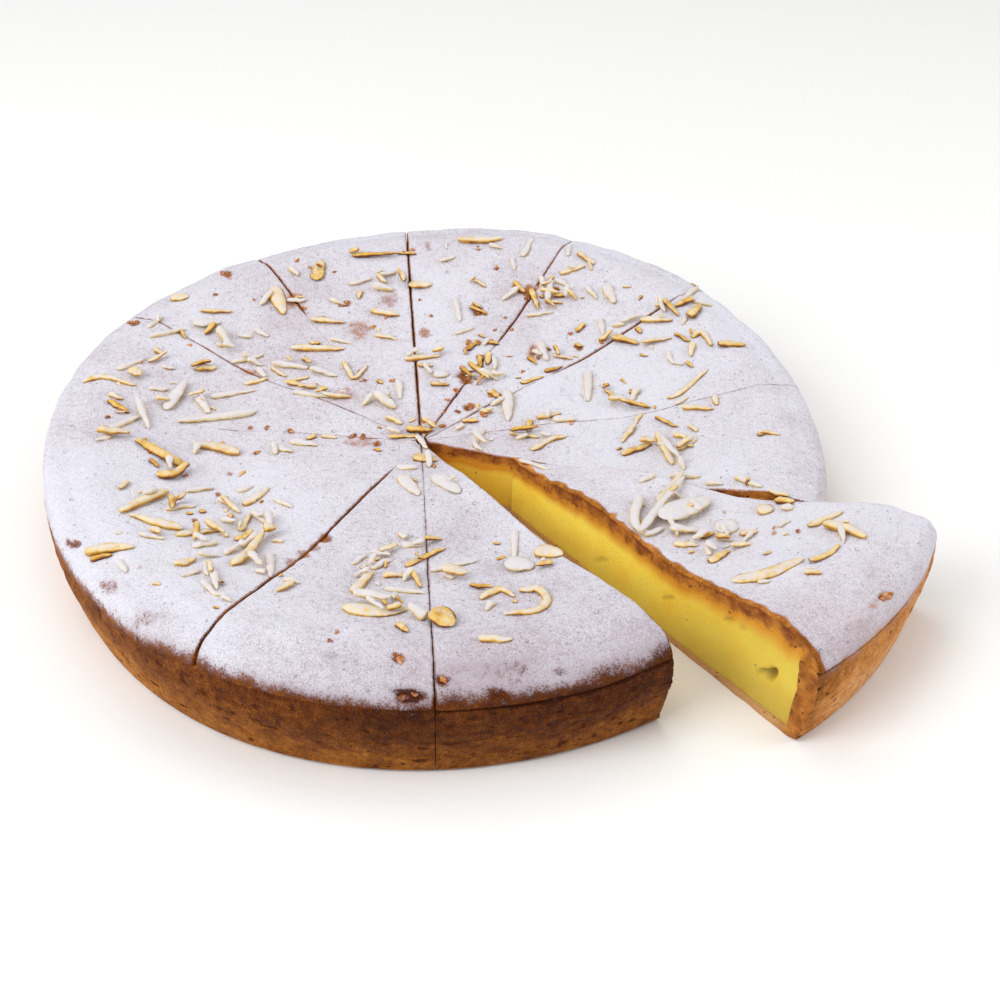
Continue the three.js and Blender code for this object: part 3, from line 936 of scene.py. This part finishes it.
# Beside them lie smaller pieces and splinters: how often, how far off in pixels, half their length
# and their width in pixels, and their tones.
companions = {
    "seed": 12,
    "small": {"often": 0.55, "away": (15, 9), "half": (5, 11), "width": (4.5, 6.5),
              "tones": ["p", "p", "y", "o"]},
    "splinter": {"often": 0.6, "away": (13, 8), "half": (2, 5), "width": (2.4, 3.6),
                 "tones": ["p", "y", "o", "b"]},
}
almondPaths = [
    # upper middle
    ("y", 9, 459, 241, 480, 242, 502, 240), ("p", 6, 522, 258, 532, 240), ("y", 12, 409, 287, 432, 286),
    ("y", 4, 474, 281, 486, 288), ("p", 6, 455, 299, 460, 322), ("b", 4, 470, 308, 487, 315),
    ("o", 6, 514, 283, 524, 294), ("o", 6, 531, 291, 538, 310), ("p", 5, 541, 277, 545, 296),
    ("p", 6, 549, 297, 551, 283), ("p", 6, 556, 281, 567, 287), ("p", 5, 568, 290, 565, 301),
    ("y", 4, 545, 303, 563, 304), ("y", 6, 560, 275, 585, 267), ("b", 4, 398, 254, 416, 255),
    ("p", 4, 455, 335, 474, 328), ("p", 4, 526, 317, 553, 313), ("p", 5, 440, 262, 455, 258),
    ("p", 5, 585, 287, 597, 300),
    # upper right
    ("y", 7, 578, 254, 594, 266), ("p", 10, 606, 288, 614, 305), ("y", 6, 655, 307, 665, 303),
    ("o", 6, 663, 307, 679, 317), ("y", 7, 640, 323, 672, 322), ("p", 6, 697, 288, 682, 301),
    ("o", 6, 700, 286, 705, 297), ("o", 10, 689, 320, 700, 308, 718, 297), ("o", 9, 612, 339, 638, 345),
    ("y", 4, 640, 347, 655, 343, 672, 339), ("o", 4, 599, 342, 612, 337), ("b", 4, 675, 335, 690, 343),
    ("y", 7, 691, 338, 702, 334, 711, 347), ("y", 6, 692, 345, 690, 358),
    ("p", 4, 668, 352, 671, 362, 683, 366), ("o", 8, 718, 347, 746, 347), ("o", 5, 575, 345, 583, 348),
    ("y", 5, 667, 399, 680, 394, 707, 371), ("p", 5, 674, 406, 688, 398),
    ("y", 6, 682, 408, 700, 410, 713, 410), ("b", 4, 655, 418, 677, 428), ("y", 4, 761, 433, 780, 435),
    ("y", 4, 678, 451, 697, 440), ("p", 6, 600, 320, 603, 336), ("p", 5, 620, 325, 640, 318),
    # middle, round the meeting point
    ("y", 7, 405, 360, 440, 357), ("p", 12, 433, 375, 449, 375), ("o", 5, 431, 385, 450, 386),
    ("b", 6, 466, 351, 479, 342), ("o", 5, 485, 343, 499, 345), ("b", 5, 480, 355, 480, 369),
    ("o", 6, 469, 366, 488, 383), ("b", 5, 460, 372, 471, 380), ("o", 4, 488, 372, 498, 373),
    ("p", 5, 494, 358, 495, 372), ("o", 7, 489, 393, 499, 399), ("p", 11, 507, 394, 508, 422),
    ("y", 5, 480, 411, 492, 415), ("o", 6, 462, 422, 479, 422), ("p", 6, 484, 430, 475, 444, 482, 452),
    ("o", 8, 406, 431, 432, 432), ("y", 5, 510, 434, 539, 438), ("y", 7, 537, 419, 560, 414),
    ("p", 7, 552, 420, 576, 421), ("y", 6, 532, 451, 550, 441, 567, 437), ("o", 4, 521, 384, 543, 377),
    ("b", 5, 545, 373, 562, 368), ("b", 4, 528, 358, 537, 365), ("p", 8, 540, 344, 547, 362),
    ("y", 6, 553, 356, 572, 360), ("p", 8, 588, 372, 588, 402), ("y", 7, 608, 404, 622, 403),
    ("o", 6, 620, 406, 650, 409), ("b", 3, 629, 393, 638, 391), ("y", 5, 634, 427, 622, 443),
    ("o", 7, 620, 455, 635, 451, 652, 444), ("y", 8, 656, 439, 672, 466), ("b", 4, 509, 437, 539, 433),
    ("p", 5, 424, 366, 431, 378), ("p", 6, 474, 438, 485, 447), ("p", 5, 519, 461, 549, 470),
    ("o", 12, 413, 458, 437, 461), ("p", 13, 400, 476, 419, 496), ("p", 15, 434, 476, 460, 494),
    ("p", 6, 466, 499, 500, 499), ("o", 4, 388, 438, 420, 437), ("p", 6, 398, 380, 400, 400),
    # right of the middle and the drawn slice
    ("p", 6, 655, 438, 678, 464), ("y", 5, 676, 454, 694, 439), ("p", 7, 670, 477, 700, 478),
    ("y", 7, 658, 504, 682, 480), ("p", 7, 634, 500, 645, 507),
    ("p", 8, 640, 500, 634, 522, 645, 536, 662, 530), ("p", 8, 670, 533, 700, 533),
    ("y", 6, 674, 545, 698, 546), ("y", 15, 757, 510, 773, 511), ("o", 8, 775, 502, 794, 503),
    ("p", 7, 640, 540, 660, 510, 683, 483), ("p", 24, 660, 524, 709, 502), ("p", 20, 716, 529, 738, 527),
    ("y", 6, 740, 536, 757, 532), ("o", 6, 710, 563, 729, 552), ("y", 5, 730, 549, 750, 545),
    ("y", 6, 808, 528, 830, 518, 843, 513, 854, 502), ("y", 10, 823, 527, 845, 531, 866, 540),
    ("y", 12, 732, 582, 765, 576, 803, 560), ("o", 5, 808, 563, 822, 559, 840, 547),
    ("p", 7, 735, 478, 762, 488), ("p", 4, 778, 528, 789, 521), ("o", 4, 700, 538, 714, 536),
    ("o", 4, 715, 541, 729, 544), ("p", 6, 700, 517, 690, 507),
    # front
    ("p", 6, 515, 531, 514, 560), ("p", 18, 505, 566, 534, 568), ("y", 17, 535, 551, 562, 556),
    ("y", 6, 480, 600, 500, 591, 515, 598), ("y", 7, 520, 592, 537, 591, 547, 601, 536, 612, 504, 615),
    ("y", 7, 478, 640, 511, 641), ("p", 6, 401, 546, 423, 546), ("o", 5, 405, 567, 445, 549),
    ("p", 6, 430, 572, 476, 562), ("y", 11, 442, 574, 467, 580), ("y", 6, 383, 577, 407, 576),
    ("o", 5, 411, 574, 421, 589), ("y", 14, 343, 608, 375, 613, 408, 611), ("p", 9, 426, 620, 409, 612),
    ("o", 19, 434, 617, 452, 628), ("y", 8, 352, 594, 372, 574), ("p", 8, 355, 601, 390, 606),
    ("p", 6, 370, 570, 392, 560), ("p", 5, 385, 590, 425, 594), ("p", 5, 352, 565, 366, 556),
    ("y", 5, 380, 557, 398, 548), ("o", 4, 425, 545, 441, 540), ("b", 4, 470, 586, 492, 592),
    # upper left
    ("y", 16, 172, 298, 188, 298), ("y", 5, 201, 312, 232, 313), ("p", 14, 193, 325, 221, 323),
    ("p", 5, 147, 328, 163, 318), ("p", 6, 150, 337, 186, 330), ("o", 14, 316, 282, 321, 262),
    ("y", 15, 274, 288, 284, 316), ("p", 6, 288, 302, 306, 302), ("b", 6, 352, 257, 398, 257),
    ("p", 6, 350, 286, 371, 280), ("p", 10, 374, 287, 393, 292), ("p", 5, 380, 279, 396, 274),
    ("y", 8, 371, 312, 399, 317), ("y", 7, 311, 321, 345, 324), ("p", 8, 219, 334, 231, 354),
    ("p", 6, 233, 364, 263, 356), ("y", 8, 291, 349, 344, 350), ("y", 12, 194, 368, 217, 369),
    ("p", 5, 162, 367, 175, 370), ("p", 6, 117, 371, 145, 360), ("y", 5, 148, 363, 169, 357),
    ("y", 13, 131, 374, 142, 380), ("y", 6, 62, 391, 83, 383, 105, 378, 136, 387),
    ("p", 6, 149, 389, 168, 391), ("b", 6, 109, 402, 129, 414), ("p", 6, 109, 430, 140, 418),
    ("p", 6, 138, 403, 149, 430), ("p", 12, 166, 411, 187, 384), ("p", 8, 198, 398, 209, 414),
    ("p", 6, 211, 398, 255, 391), ("p", 9, 256, 413, 215, 419, 179, 423), ("p", 8, 273, 364, 308, 369),
    ("p", 6, 311, 372, 337, 377), ("y", 5, 288, 383, 309, 378), ("y", 5, 344, 364, 354, 380, 367, 366),
    ("p", 6, 293, 393, 329, 398), ("y", 6, 322, 399, 350, 398), ("p", 10, 376, 399, 395, 410),
    ("y", 10, 240, 455, 215, 449, 194, 446), ("o", 10, 184, 468, 160, 455, 136, 441),
    ("y", 8, 98, 437, 131, 438), ("p", 7, 290, 442, 317, 446), ("p", 6, 277, 448, 293, 453),
    ("y", 5, 322, 437, 337, 438), ("p", 6, 387, 433, 400, 437), ("y", 5, 375, 336, 398, 340),
    ("p", 5, 330, 340, 352, 344), ("p", 6, 255, 330, 268, 338), ("o", 4, 405, 284, 398, 272),
    ("p", 5, 330, 300, 346, 306), ("y", 5, 245, 385, 268, 380),
    # lower left
    ("y", 10, 167, 493, 145, 502, 121, 514), ("o", 9, 158, 476, 175, 478, 189, 470),
    ("b", 4, 150, 461, 158, 468), ("y", 8, 182, 530, 156, 524, 131, 516),
    ("y", 6, 176, 536, 205, 533, 220, 531, 227, 538), ("y", 10, 85, 555, 108, 551, 134, 548),
    ("b", 5, 90, 561, 112, 556), ("y", 7, 174, 565, 186, 564, 196, 560), ("p", 5, 182, 576, 201, 572),
    ("p", 6, 193, 547, 218, 545), ("p", 4, 198, 558, 219, 557), ("p", 5, 203, 581, 213, 593, 226, 596),
    ("p", 6, 214, 575, 217, 590), ("p", 5, 238, 492, 253, 487), ("y", 7, 243, 506, 257, 498, 269, 489),
    ("y", 6, 222, 502, 240, 514), ("y", 6, 241, 532, 250, 515), ("p", 6, 252, 514, 266, 524),
    ("o", 6, 234, 540, 245, 539, 256, 536), ("y", 10, 264, 536, 276, 535),
    ("y", 8, 231, 566, 245, 560, 256, 549, 264, 538), ("p", 8, 240, 548, 258, 541),
    ("p", 7, 270, 555, 271, 579), ("o", 4, 200, 513, 206, 512), ("p", 6, 165, 510, 195, 507),
    ("p", 6, 187, 492, 214, 489), ("y", 4, 205, 521, 213, 526), ("p", 6, 222, 520, 236, 528),
    ("p", 6, 250, 560, 262, 570), ("p", 5, 284, 580, 300, 584), ("p", 5, 275, 500, 292, 508),
    ("p", 5, 140, 535, 165, 540), ("p", 5, 225, 555, 240, 549),
]


graph = bpy.context.evaluated_depsgraph_get()
trees = [BVHTree.FromObject(piece, graph) for piece in lids]


def castOn(start, along):            # where a ray first meets a lid, in mm
    nearest = None
    source = Vector((np.array(start) + [*tart["middle"], 0]) * mm)
    for tree in trees:
        spot, _, _, distance = tree.ray_cast(source, Vector(along))
        if spot is not None and (nearest is None or distance < nearest[0]):
            nearest = (distance, np.array(spot) / mm - [*tart["middle"], 0])
    return None if nearest is None else nearest[1]


def lidHeight(x, y):                 # the highest of a few points, so a cut is bridged
    steps = ((0, 0), (1, 0), (-1, 0), (0, 1), (0, -1))
    found = [castOn((x + stepX, y + stepY, 80), (0, 0, -1)) for stepX, stepY in steps]
    return max([spot[2] for spot in found if spot is not None], default=None)


def withCompanions():
    chance = np.random.default_rng(companions["seed"])
    for tone, pixelWidth, *pixels in almondPaths:
        yield tone, pixelWidth, *pixels
        for kind in ("small", "splinter"):
            rule = companions[kind]
            if chance.random() >= rule["often"]:
                continue
            middle = np.mean(np.reshape(pixels, (-1, 2)), axis=0) + chance.normal(0, 1, 2) * rule["away"]
            turn, half = chance.uniform(0, math.pi), chance.uniform(*rule["half"])
            reach = np.array([math.cos(turn), 0.6 * math.sin(turn)]) * half
            shade, width = chance.choice(rule["tones"]), chance.uniform(*rule["width"])
            yield shade, width, *(middle - reach), *(middle + reach)


def layAlmonds():
    laid, paths = np.empty((0, 4)), []
    for tone, pixelWidth, *pixels in withCompanions():
        spots = [castOn(*pixelRay(x, y)) for x, y in zip(pixels[::2], pixels[1::2])]
        spots = [spot for spot in spots if spot is not None]
        if len(spots) < 2:
            continue
        width = pixelWidth * almonds["pixelWidth"] * almonds["wider"]
        width = width if pixelWidth < almonds["splinterPixels"] else max(almonds["slimmest"], width)
        flat = almonds["flat"] if pixelWidth < almonds["flakePixels"] else almonds["flakeThickness"] / width
        line, thickness = np.array(spots), width * flat
        along = np.linspace(0, 1, almonds["steps"])
        ends = np.linspace(0, 1, len(line))
        samples = np.stack([np.interp(along, ends, column) for column in line.T], -1)
        surface = np.array([lidHeight(x, y) or z for x, y, z in samples])
        lift = np.zeros(2)           # each end rises over the pieces that already lie there
        for share, (x, y), height in zip(along, samples[:, :2], surface):
            near = laid[np.hypot(laid[:, 0] - x, laid[:, 1] - y) < width / 2 + laid[:, 3]]
            if len(near):
                over = max(0, near[:, 2].max() - height) / max(share, 1 - share)
                end = int(share > 0.5)
                lift[end] = max(lift[end], min(almonds["mostLift"], over))
        base = np.interp(ends, along, surface) + lift[0] * (1 - ends) + lift[1] * ends
        line[:, 2] = base + thickness * (0.5 - almonds["sunk"])
        tops = np.interp(along, ends, line[:, 2]) + thickness * almonds["core"]
        reach = np.full(len(along), width * almonds["core"])
        laid = np.vstack([laid, np.column_stack([samples[:, :2], tops, reach])])
        paths.append({"line": line, "width": width, "flat": flat, "tone": almonds["tones"][tone],
                      "flake": pixelWidth >= almonds["flakePixels"]})
    return paths


def pathMesh(name, paths):
    lines = [path["line"] for path in paths]
    starts = np.cumsum([0] + [len(line) for line in lines])
    edges = [(int(s) + k, int(s) + k + 1) for s, line in zip(starts, lines) for k in range(len(line) - 1)]
    mesh = bpy.data.meshes.new(name)
    mesh.from_pydata(((np.vstack(lines) + [*tart["middle"], 0]) * mm).tolist(), edges, [])
    for key, unit in (("width", mm), ("flat", 1), ("tone", 1)):
        values = np.concatenate([np.full(len(path["line"]), path[key] * unit) for path in paths])
        mesh.attributes.new(key, "FLOAT", "POINT").data.foreach_set("value", values.astype(np.float32))
    return mesh


def startNodes(name, inputs):        # a tree that takes one mesh and gives one, with named inputs
    tree = bpy.data.node_groups.new(name, "GeometryNodeTree")
    tree.interface.new_socket("Geometry", in_out="OUTPUT", socket_type="NodeSocketGeometry")
    everyTree = {"Geometry": ("Geometry", None), "Material": ("Material", None)}
    for key, (kind, value) in {**everyTree, **inputs}.items():
        socket = tree.interface.new_socket(key, in_out="INPUT", socket_type=f"NodeSocket{kind}")
        if value is not None:
            socket.default_value = value
    return tree, addNode(tree, "NodeGroupInput").outputs


def finishNodes(tree, given, solid, place=None):     # makes it uneven and gives it its material
    scale = addNode(tree, "Math", {0: 1.0, 1: given["Unevenness size"]}, operation="DIVIDE")
    grain = addNode(tree, "TexNoise", {"Scale": scale, "Detail": 1.0}).outputs["Color"]
    shift = addNode(tree, "VectorMath", {0: grain, 1: (0.5, 0.5, 0.5)}, operation="SUBTRACT")
    height = addNode(tree, "Math", {0: given["Unevenness"], 1: 4.0}, operation="MULTIPLY")
    shift = addNode(tree, "VectorMath", {0: shift, "Scale": height}, operation="SCALE")
    moved = {0: solid, "Offset": shift}
    if place is not None:
        moved["Position"] = place
    solid = addNode(tree, "GeometryNodeSetPosition", moved)
    solid = addNode(tree, "GeometryNodeRealizeInstances", {0: solid})
    solid = addNode(tree, "GeometryNodeSetMaterial", {0: solid, "Material": given["Material"]})
    addNode(tree, "NodeGroupOutput", {0: solid})


def almondTree():
    # Each path becomes a slender solid, full in the middle, narrow at both ends and flattened.
    tree, given = startNodes("almondPieces", {
        "Rings": ("Int", almonds["rings"]), "Sides": ("Int", almonds["sides"]),
        "Ends": ("Float", almonds["ends"]), "Fullness": ("Float", almonds["fullness"]),
        "Unevenness": ("Float", almonds["uneven"] * mm),
        "Unevenness size": ("Float", almonds["unevenSize"] * mm),
    })
    named = {key: addNode(tree, "GeometryNodeInputNamedAttribute", {"Name": key}, data_type=kind)
             for key, kind in (("width", "FLOAT"), ("flat", "FLOAT"), ("core", "FLOAT_VECTOR"))}
    where = addNode(tree, "GeometryNodeInputPosition")
    curves = addNode(tree, "GeometryNodeMeshToCurve", {0: given["Geometry"]})
    curves = addNode(tree, "GeometryNodeCurveSplineType", {0: curves}, spline_type="CATMULL_ROM")
    curves = addNode(tree, "GeometryNodeResampleCurve", {"Curve": curves, "Count": given["Rings"]})
    curves = addNode(tree, "GeometryNodeSetCurveNormal", {0: curves}, mode="Z_UP")
    curves = addNode(tree, "GeometryNodeStoreNamedAttribute", {0: curves, "Name": "core", "Value": where},
                     data_type="FLOAT_VECTOR", domain="POINT")
    along = addNode(tree, "GeometryNodeSplineParameter").outputs["Factor"]
    fromMiddle = addNode(tree, "Math", {0: along, 1: 2.0, 2: -1.0}, operation="MULTIPLY_ADD")
    fromMiddle = addNode(tree, "Math", {0: fromMiddle}, operation="ABSOLUTE")
    full = addNode(tree, "Math", {0: fromMiddle, 1: given["Fullness"]}, operation="POWER")
    full = addNode(tree, "Math", {0: 1.0, 1: full}, operation="SUBTRACT")
    full = addNode(tree, "Math", {0: full, 1: 0.6}, operation="POWER")
    full = addNode(tree, "MapRange", {0: full, 3: given["Ends"], 4: 1.0})
    taper = addNode(tree, "Math", {0: along, 1: -0.5, 2: 1.2}, operation="MULTIPLY_ADD")
    half = addNode(tree, "Math", {0: named["width"], 1: 0.5}, operation="MULTIPLY")
    for share in (taper, full):
        half = addNode(tree, "Math", {0: half, 1: share}, operation="MULTIPLY")
    outline = addNode(tree, "GeometryNodeCurvePrimitiveCircle", {
        "Resolution": given["Sides"], "Radius": 1.0,
    })
    solid = addNode(tree, "GeometryNodeCurveToMesh", {
        0: curves, "Profile Curve": outline, "Scale": half, "Fill Caps": True,
    })
    solid = addNode(tree, "GeometryNodeSetShadeSmooth", {0: solid})
    away = addNode(tree, "VectorMath", {0: where, 1: named["core"]}, operation="SUBTRACT")
    squash = addNode(tree, "CombineXYZ", {0: 1.0, 1: 1.0, 2: named["flat"]})
    flattened = addNode(tree, "VectorMath", {0: away, 1: squash, 2: named["core"]}, operation="MULTIPLY_ADD")
    finishNodes(tree, given, solid, flattened)
    return tree


def bakeNodes(name, mesh, tree, settings):
    source = bpy.data.objects.new(name, mesh)
    bpy.context.scene.collection.objects.link(source)
    modifier = source.modifiers.new("build", "NODES")
    modifier.node_group = tree
    sockets = {item.name: item.identifier for item in tree.interface.items_tree if item.in_out == "INPUT"}
    for key, value in settings.items():
        modifier[sockets[key]] = value
    evaluated = source.evaluated_get(bpy.context.evaluated_depsgraph_get())
    result = bpy.data.meshes.new_from_object(evaluated)
    source.modifiers.remove(modifier)
    source.data = result
    return source


def toastedAlmond():
    # Slivered almonds out of the oven: cream, waxy flesh with golden-brown edges and undersides,
    # the undersides partly toasted, partly painted shade, and icing sugar lying on what faces up.
    material, tree, made = startMaterial("toastedAlmond", almonds["patterns"], ("tone",))
    tone, fibre = made["tone"], made["fibre"]
    normal = addNode(tree, "NewGeometry").outputs["Normal"]
    facing = addNode(tree, "SeparateXYZ", {0: normal}).outputs[2]
    # darker where the surface faces down: partly toasted skin, partly painted shade
    undersideToastAndShade = addNode(tree, "MapRange", {0: facing, 1: 0.8, 2: 0.0}, **smooth)
    edges = addNode(tree, "Math", {0: tone, 1: 0.45, 2: 0.22}, operation="MULTIPLY_ADD")
    edges = addNode(tree, "Math", {0: undersideToastAndShade, 1: edges}, operation="MULTIPLY")
    toast = addNode(tree, "Math", {0: tone, 1: 0.55, 2: edges}, operation="MULTIPLY_ADD")
    toast = mottled(tree, toast, [(fibre, 0.7), (made["patches"], 0.7)])
    flesh = addNode(tree, "ValToRGB", {0: toast}, stops=almonds["flesh"])
    dust = addNode(tree, "Math", {0: facing, 1: 0.45, 2: made["powder"]}, operation="MULTIPLY_ADD")
    dust = addNode(tree, "Math", {0: tone, 1: -0.5, 2: dust}, operation="MULTIPLY_ADD")
    dust = addNode(tree, "MapRange", {0: dust, 1: 0.45, 2: 0.95, 4: 0.88}, **smooth)
    finishMaterial(tree, {
        "Base Color": layered(tree, flesh, [(dust, almonds["dust"])]),
        "Roughness": addNode(tree, "MapRange", {0: dust, 3: 0.42, 4: 0.9}, **smooth),
        "Specular IOR Level": 0.3,
        "Subsurface Weight": 0.1, "Subsurface Radius": (1.0, 0.7, 0.4), "Subsurface Scale": 0.001,
    }, fibre, 0.25)
    return material


def addAlmonds():
    paths = layAlmonds()
    material = toastedAlmond()
    tree = almondTree()
    kinds = {
        "almondSlivers": {"Rings": almonds["rings"], "Ends": almonds["ends"],
                          "Fullness": almonds["fullness"]},
        "almondFlakes": {"Rings": almonds["rings"] + 2, "Ends": almonds["flakeEnds"],
                         "Fullness": almonds["flakeFullness"]},
    }
    for name, shape in kinds.items():
        chosen = [path for path in paths if path["flake"] == (name == "almondFlakes")]
        settings = {**shape, "Sides": almonds["sides"], "Unevenness": almonds["uneven"] * mm,
                    "Unevenness size": almonds["unevenSize"] * mm, "Material": material}
        piece = bakeNodes(name, pathMesh(name, chosen), tree, settings)
        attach(piece, "root")
        print(name, len(chosen), "pieces,", len(piece.data.polygons), "faces")


# Crumbs of browned crust and almond skin on the lid: pixel and width in pixels.
crumbSpots = [
    (468, 343, 7), (478, 343, 8), (490, 342, 7), (480, 357, 7), (463, 372, 9), (468, 379, 8), (478, 312, 8),
    (485, 314, 6), (473, 306, 5), (497, 268, 6), (478, 249, 6), (404, 253, 6), (412, 250, 5), (533, 352, 6),
    (538, 358, 5), (570, 334, 5), (578, 347, 8), (602, 342, 7), (633, 392, 7), (470, 407, 8), (483, 415, 7),
    (490, 395, 7), (500, 396, 5), (421, 428, 7), (427, 433, 7), (433, 425, 6), (443, 426, 7), (420, 417, 5),
    (557, 289, 7), (527, 299, 6), (537, 288, 6), (514, 287, 5), (567, 421, 6), (571, 423, 5), (225, 275, 9),
    (347, 303, 9), (341, 306, 5), (297, 261, 5), (293, 300, 7), (304, 309, 7), (216, 295, 5), (140, 362, 6),
    (167, 368, 7), (130, 323, 6), (137, 323, 6), (220, 328, 5), (360, 372, 5), (363, 381, 6), (250, 428, 6),
    (267, 428, 6), (290, 431, 8), (353, 437, 7), (363, 438, 7), (377, 444, 9), (257, 453, 6), (393, 381, 6),
    (373, 327, 5), (423, 421, 7), (400, 660, 8), (396, 655, 5), (330, 641, 4), (337, 632, 4), (885, 597, 9),
    (881, 600, 5), (890, 594, 5), (403, 698, 6), (414, 694, 5), (444, 680, 7), (775, 528, 4), (798, 531, 4),
    (456, 391, 6), (448, 400, 5), (512, 330, 5), (505, 318, 4), (495, 330, 5), (458, 412, 5), (445, 413, 4),
    (523, 372, 4), (431, 316, 4), (420, 300, 4), (386, 318, 4), (335, 272, 4), (310, 268, 4), (254, 300, 4),
    (190, 345, 4), (120, 410, 5), (149, 452, 5), (186, 476, 5), (262, 502, 4), (305, 385, 4),
]


crumbs = {
    "wider": 1.4, "shape": (1.1, 0.6, 0.45), "tilt": 0.4, "lift": 0.06, "seed": 3,
    "uneven": 0.5, "unevenSize": 0.9,
    "browns": [(0.3, "#84451F"), (0.5, "#B06B33"), (0.7, "#D39650")], "dust": "#CDBFC6",
}


def crumbTree():
    # A lump on every point, turned by chance and scaled by its width.
    tree, given = startNodes("crustCrumbs", {
        "Unevenness": ("Float", crumbs["uneven"] * mm),
        "Unevenness size": ("Float", crumbs["unevenSize"] * mm),
        "Seed": ("Int", crumbs["seed"]),
    })
    width = addNode(tree, "GeometryNodeInputNamedAttribute", {"Name": "width"}, data_type="FLOAT")
    tilt = crumbs["tilt"]
    turn = addNode(tree, "FunctionNodeRandomValue", {
        0: (-tilt, -tilt, 0), 1: (tilt, tilt, 6.3), "Seed": given["Seed"],
    }, data_type="FLOAT_VECTOR")
    squash = addNode(tree, "VectorMath", {0: crumbs["shape"], "Scale": width}, operation="SCALE")
    lump = addNode(tree, "GeometryNodeMeshIcoSphere", {"Radius": 0.5, "Subdivisions": 2})
    solid = addNode(tree, "GeometryNodeInstanceOnPoints", {
        "Points": given["Geometry"], "Instance": lump, "Rotation": turn, "Scale": squash,
    })
    solid = addNode(tree, "GeometryNodeRealizeInstances", {0: solid})
    finishNodes(tree, given, solid)
    return tree


def brownedCrumb():
    # Bits of well-baked crust and almond skin: reddish brown, matt, with some sugar on them.
    patterns = {"tone": (3, 2, 0.5), "dust": (0.9, 1, 0.5)}
    material, tree, made = startMaterial("brownedCrumb", patterns)
    brown = addNode(tree, "ValToRGB", {0: made["tone"]}, stops=crumbs["browns"])
    dust = addNode(tree, "MapRange", {0: made["dust"], 1: 0.5, 2: 0.7, 4: 0.6}, **smooth)
    colour = layered(tree, brown, [(dust, crumbs["dust"])])
    finishMaterial(tree, {"Base Color": colour, "Roughness": 0.85, "Specular IOR Level": 0.2})
    return material


def addCrumbs():
    scale = almonds["pixelWidth"] * crumbs["wider"]
    found = [(castOn(*pixelRay(x, y)), size * scale) for x, y, size in crumbSpots]
    paths = [{"line": spot[None] + [0, 0, crumbs["lift"] * width], "width": width, "flat": 1, "tone": 1}
             for spot, width in found if spot is not None]
    settings = {"Unevenness": crumbs["uneven"] * mm, "Unevenness size": crumbs["unevenSize"] * mm,
                "Seed": crumbs["seed"], "Material": brownedCrumb()}
    piece = bakeNodes("crustCrumbs", pathMesh("crustCrumbs", paths), crumbTree(), settings)
    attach(piece, "root")
    print("crumbs", len(paths))


addAlmonds()
addCrumbs()


def addFloor():
    mesh = bpy.data.meshes.new("paleFloor")
    size = 3.0                       # metres from the middle to each side
    corners = [(-size, -size, 0), (size, -size, 0), (size, size, 0), (-size, size, 0)]
    mesh.from_pydata(corners, [], [(0, 1, 2, 3)])
    floor = bpy.data.objects.new("paleFloor", mesh)
    bpy.context.scene.collection.objects.link(floor)
    material, tree, made = startMaterial("paleTabletop", {})
    finishMaterial(tree, {"Base Color": "#F6F6F5", "Roughness": 0.9})
    mesh.materials.append(material)


# Softboxes of 0.7 to 0.8 m as (name, watts, size, place in metres), and the room's own light.
light = {
    "softboxes": [
        ("softboxAbove", 3, 0.8, (-0.2, 0.45, 1.2)), ("softboxRight", 4.5, 0.7, (1.1, -0.1, 0.55)),
        ("softboxLeft", 8.2, 0.7, (-0.95, -0.6, 0.85)), ("softboxFront", 4.3, 0.7, (-0.5, -0.42, 1.2)),
    ],
    "room": 0.5,
}


def addLights():
    for name, power, size, source in light["softboxes"]:
        lamp = bpy.data.lights.new(name, "AREA")
        lamp.energy = power
        lamp.size = size
        lampObject = bpy.data.objects.new(name, lamp)
        lampObject.location = source
        lampObject.rotation_euler = (-Vector(source)).to_track_quat("-Z", "Y").to_euler()
        bpy.context.scene.collection.objects.link(lampObject)
    world = bpy.data.worlds.new("studio")
    world.use_nodes = True
    background = world.node_tree.nodes["Background"]
    background.inputs["Color"].default_value = linear("#FFFFFF")
    background.inputs["Strength"].default_value = light["room"]
    bpy.context.scene.world = world
    bpy.context.scene.view_settings.view_transform = "Standard"


addFloor()
addLights()
print("floor and light set")
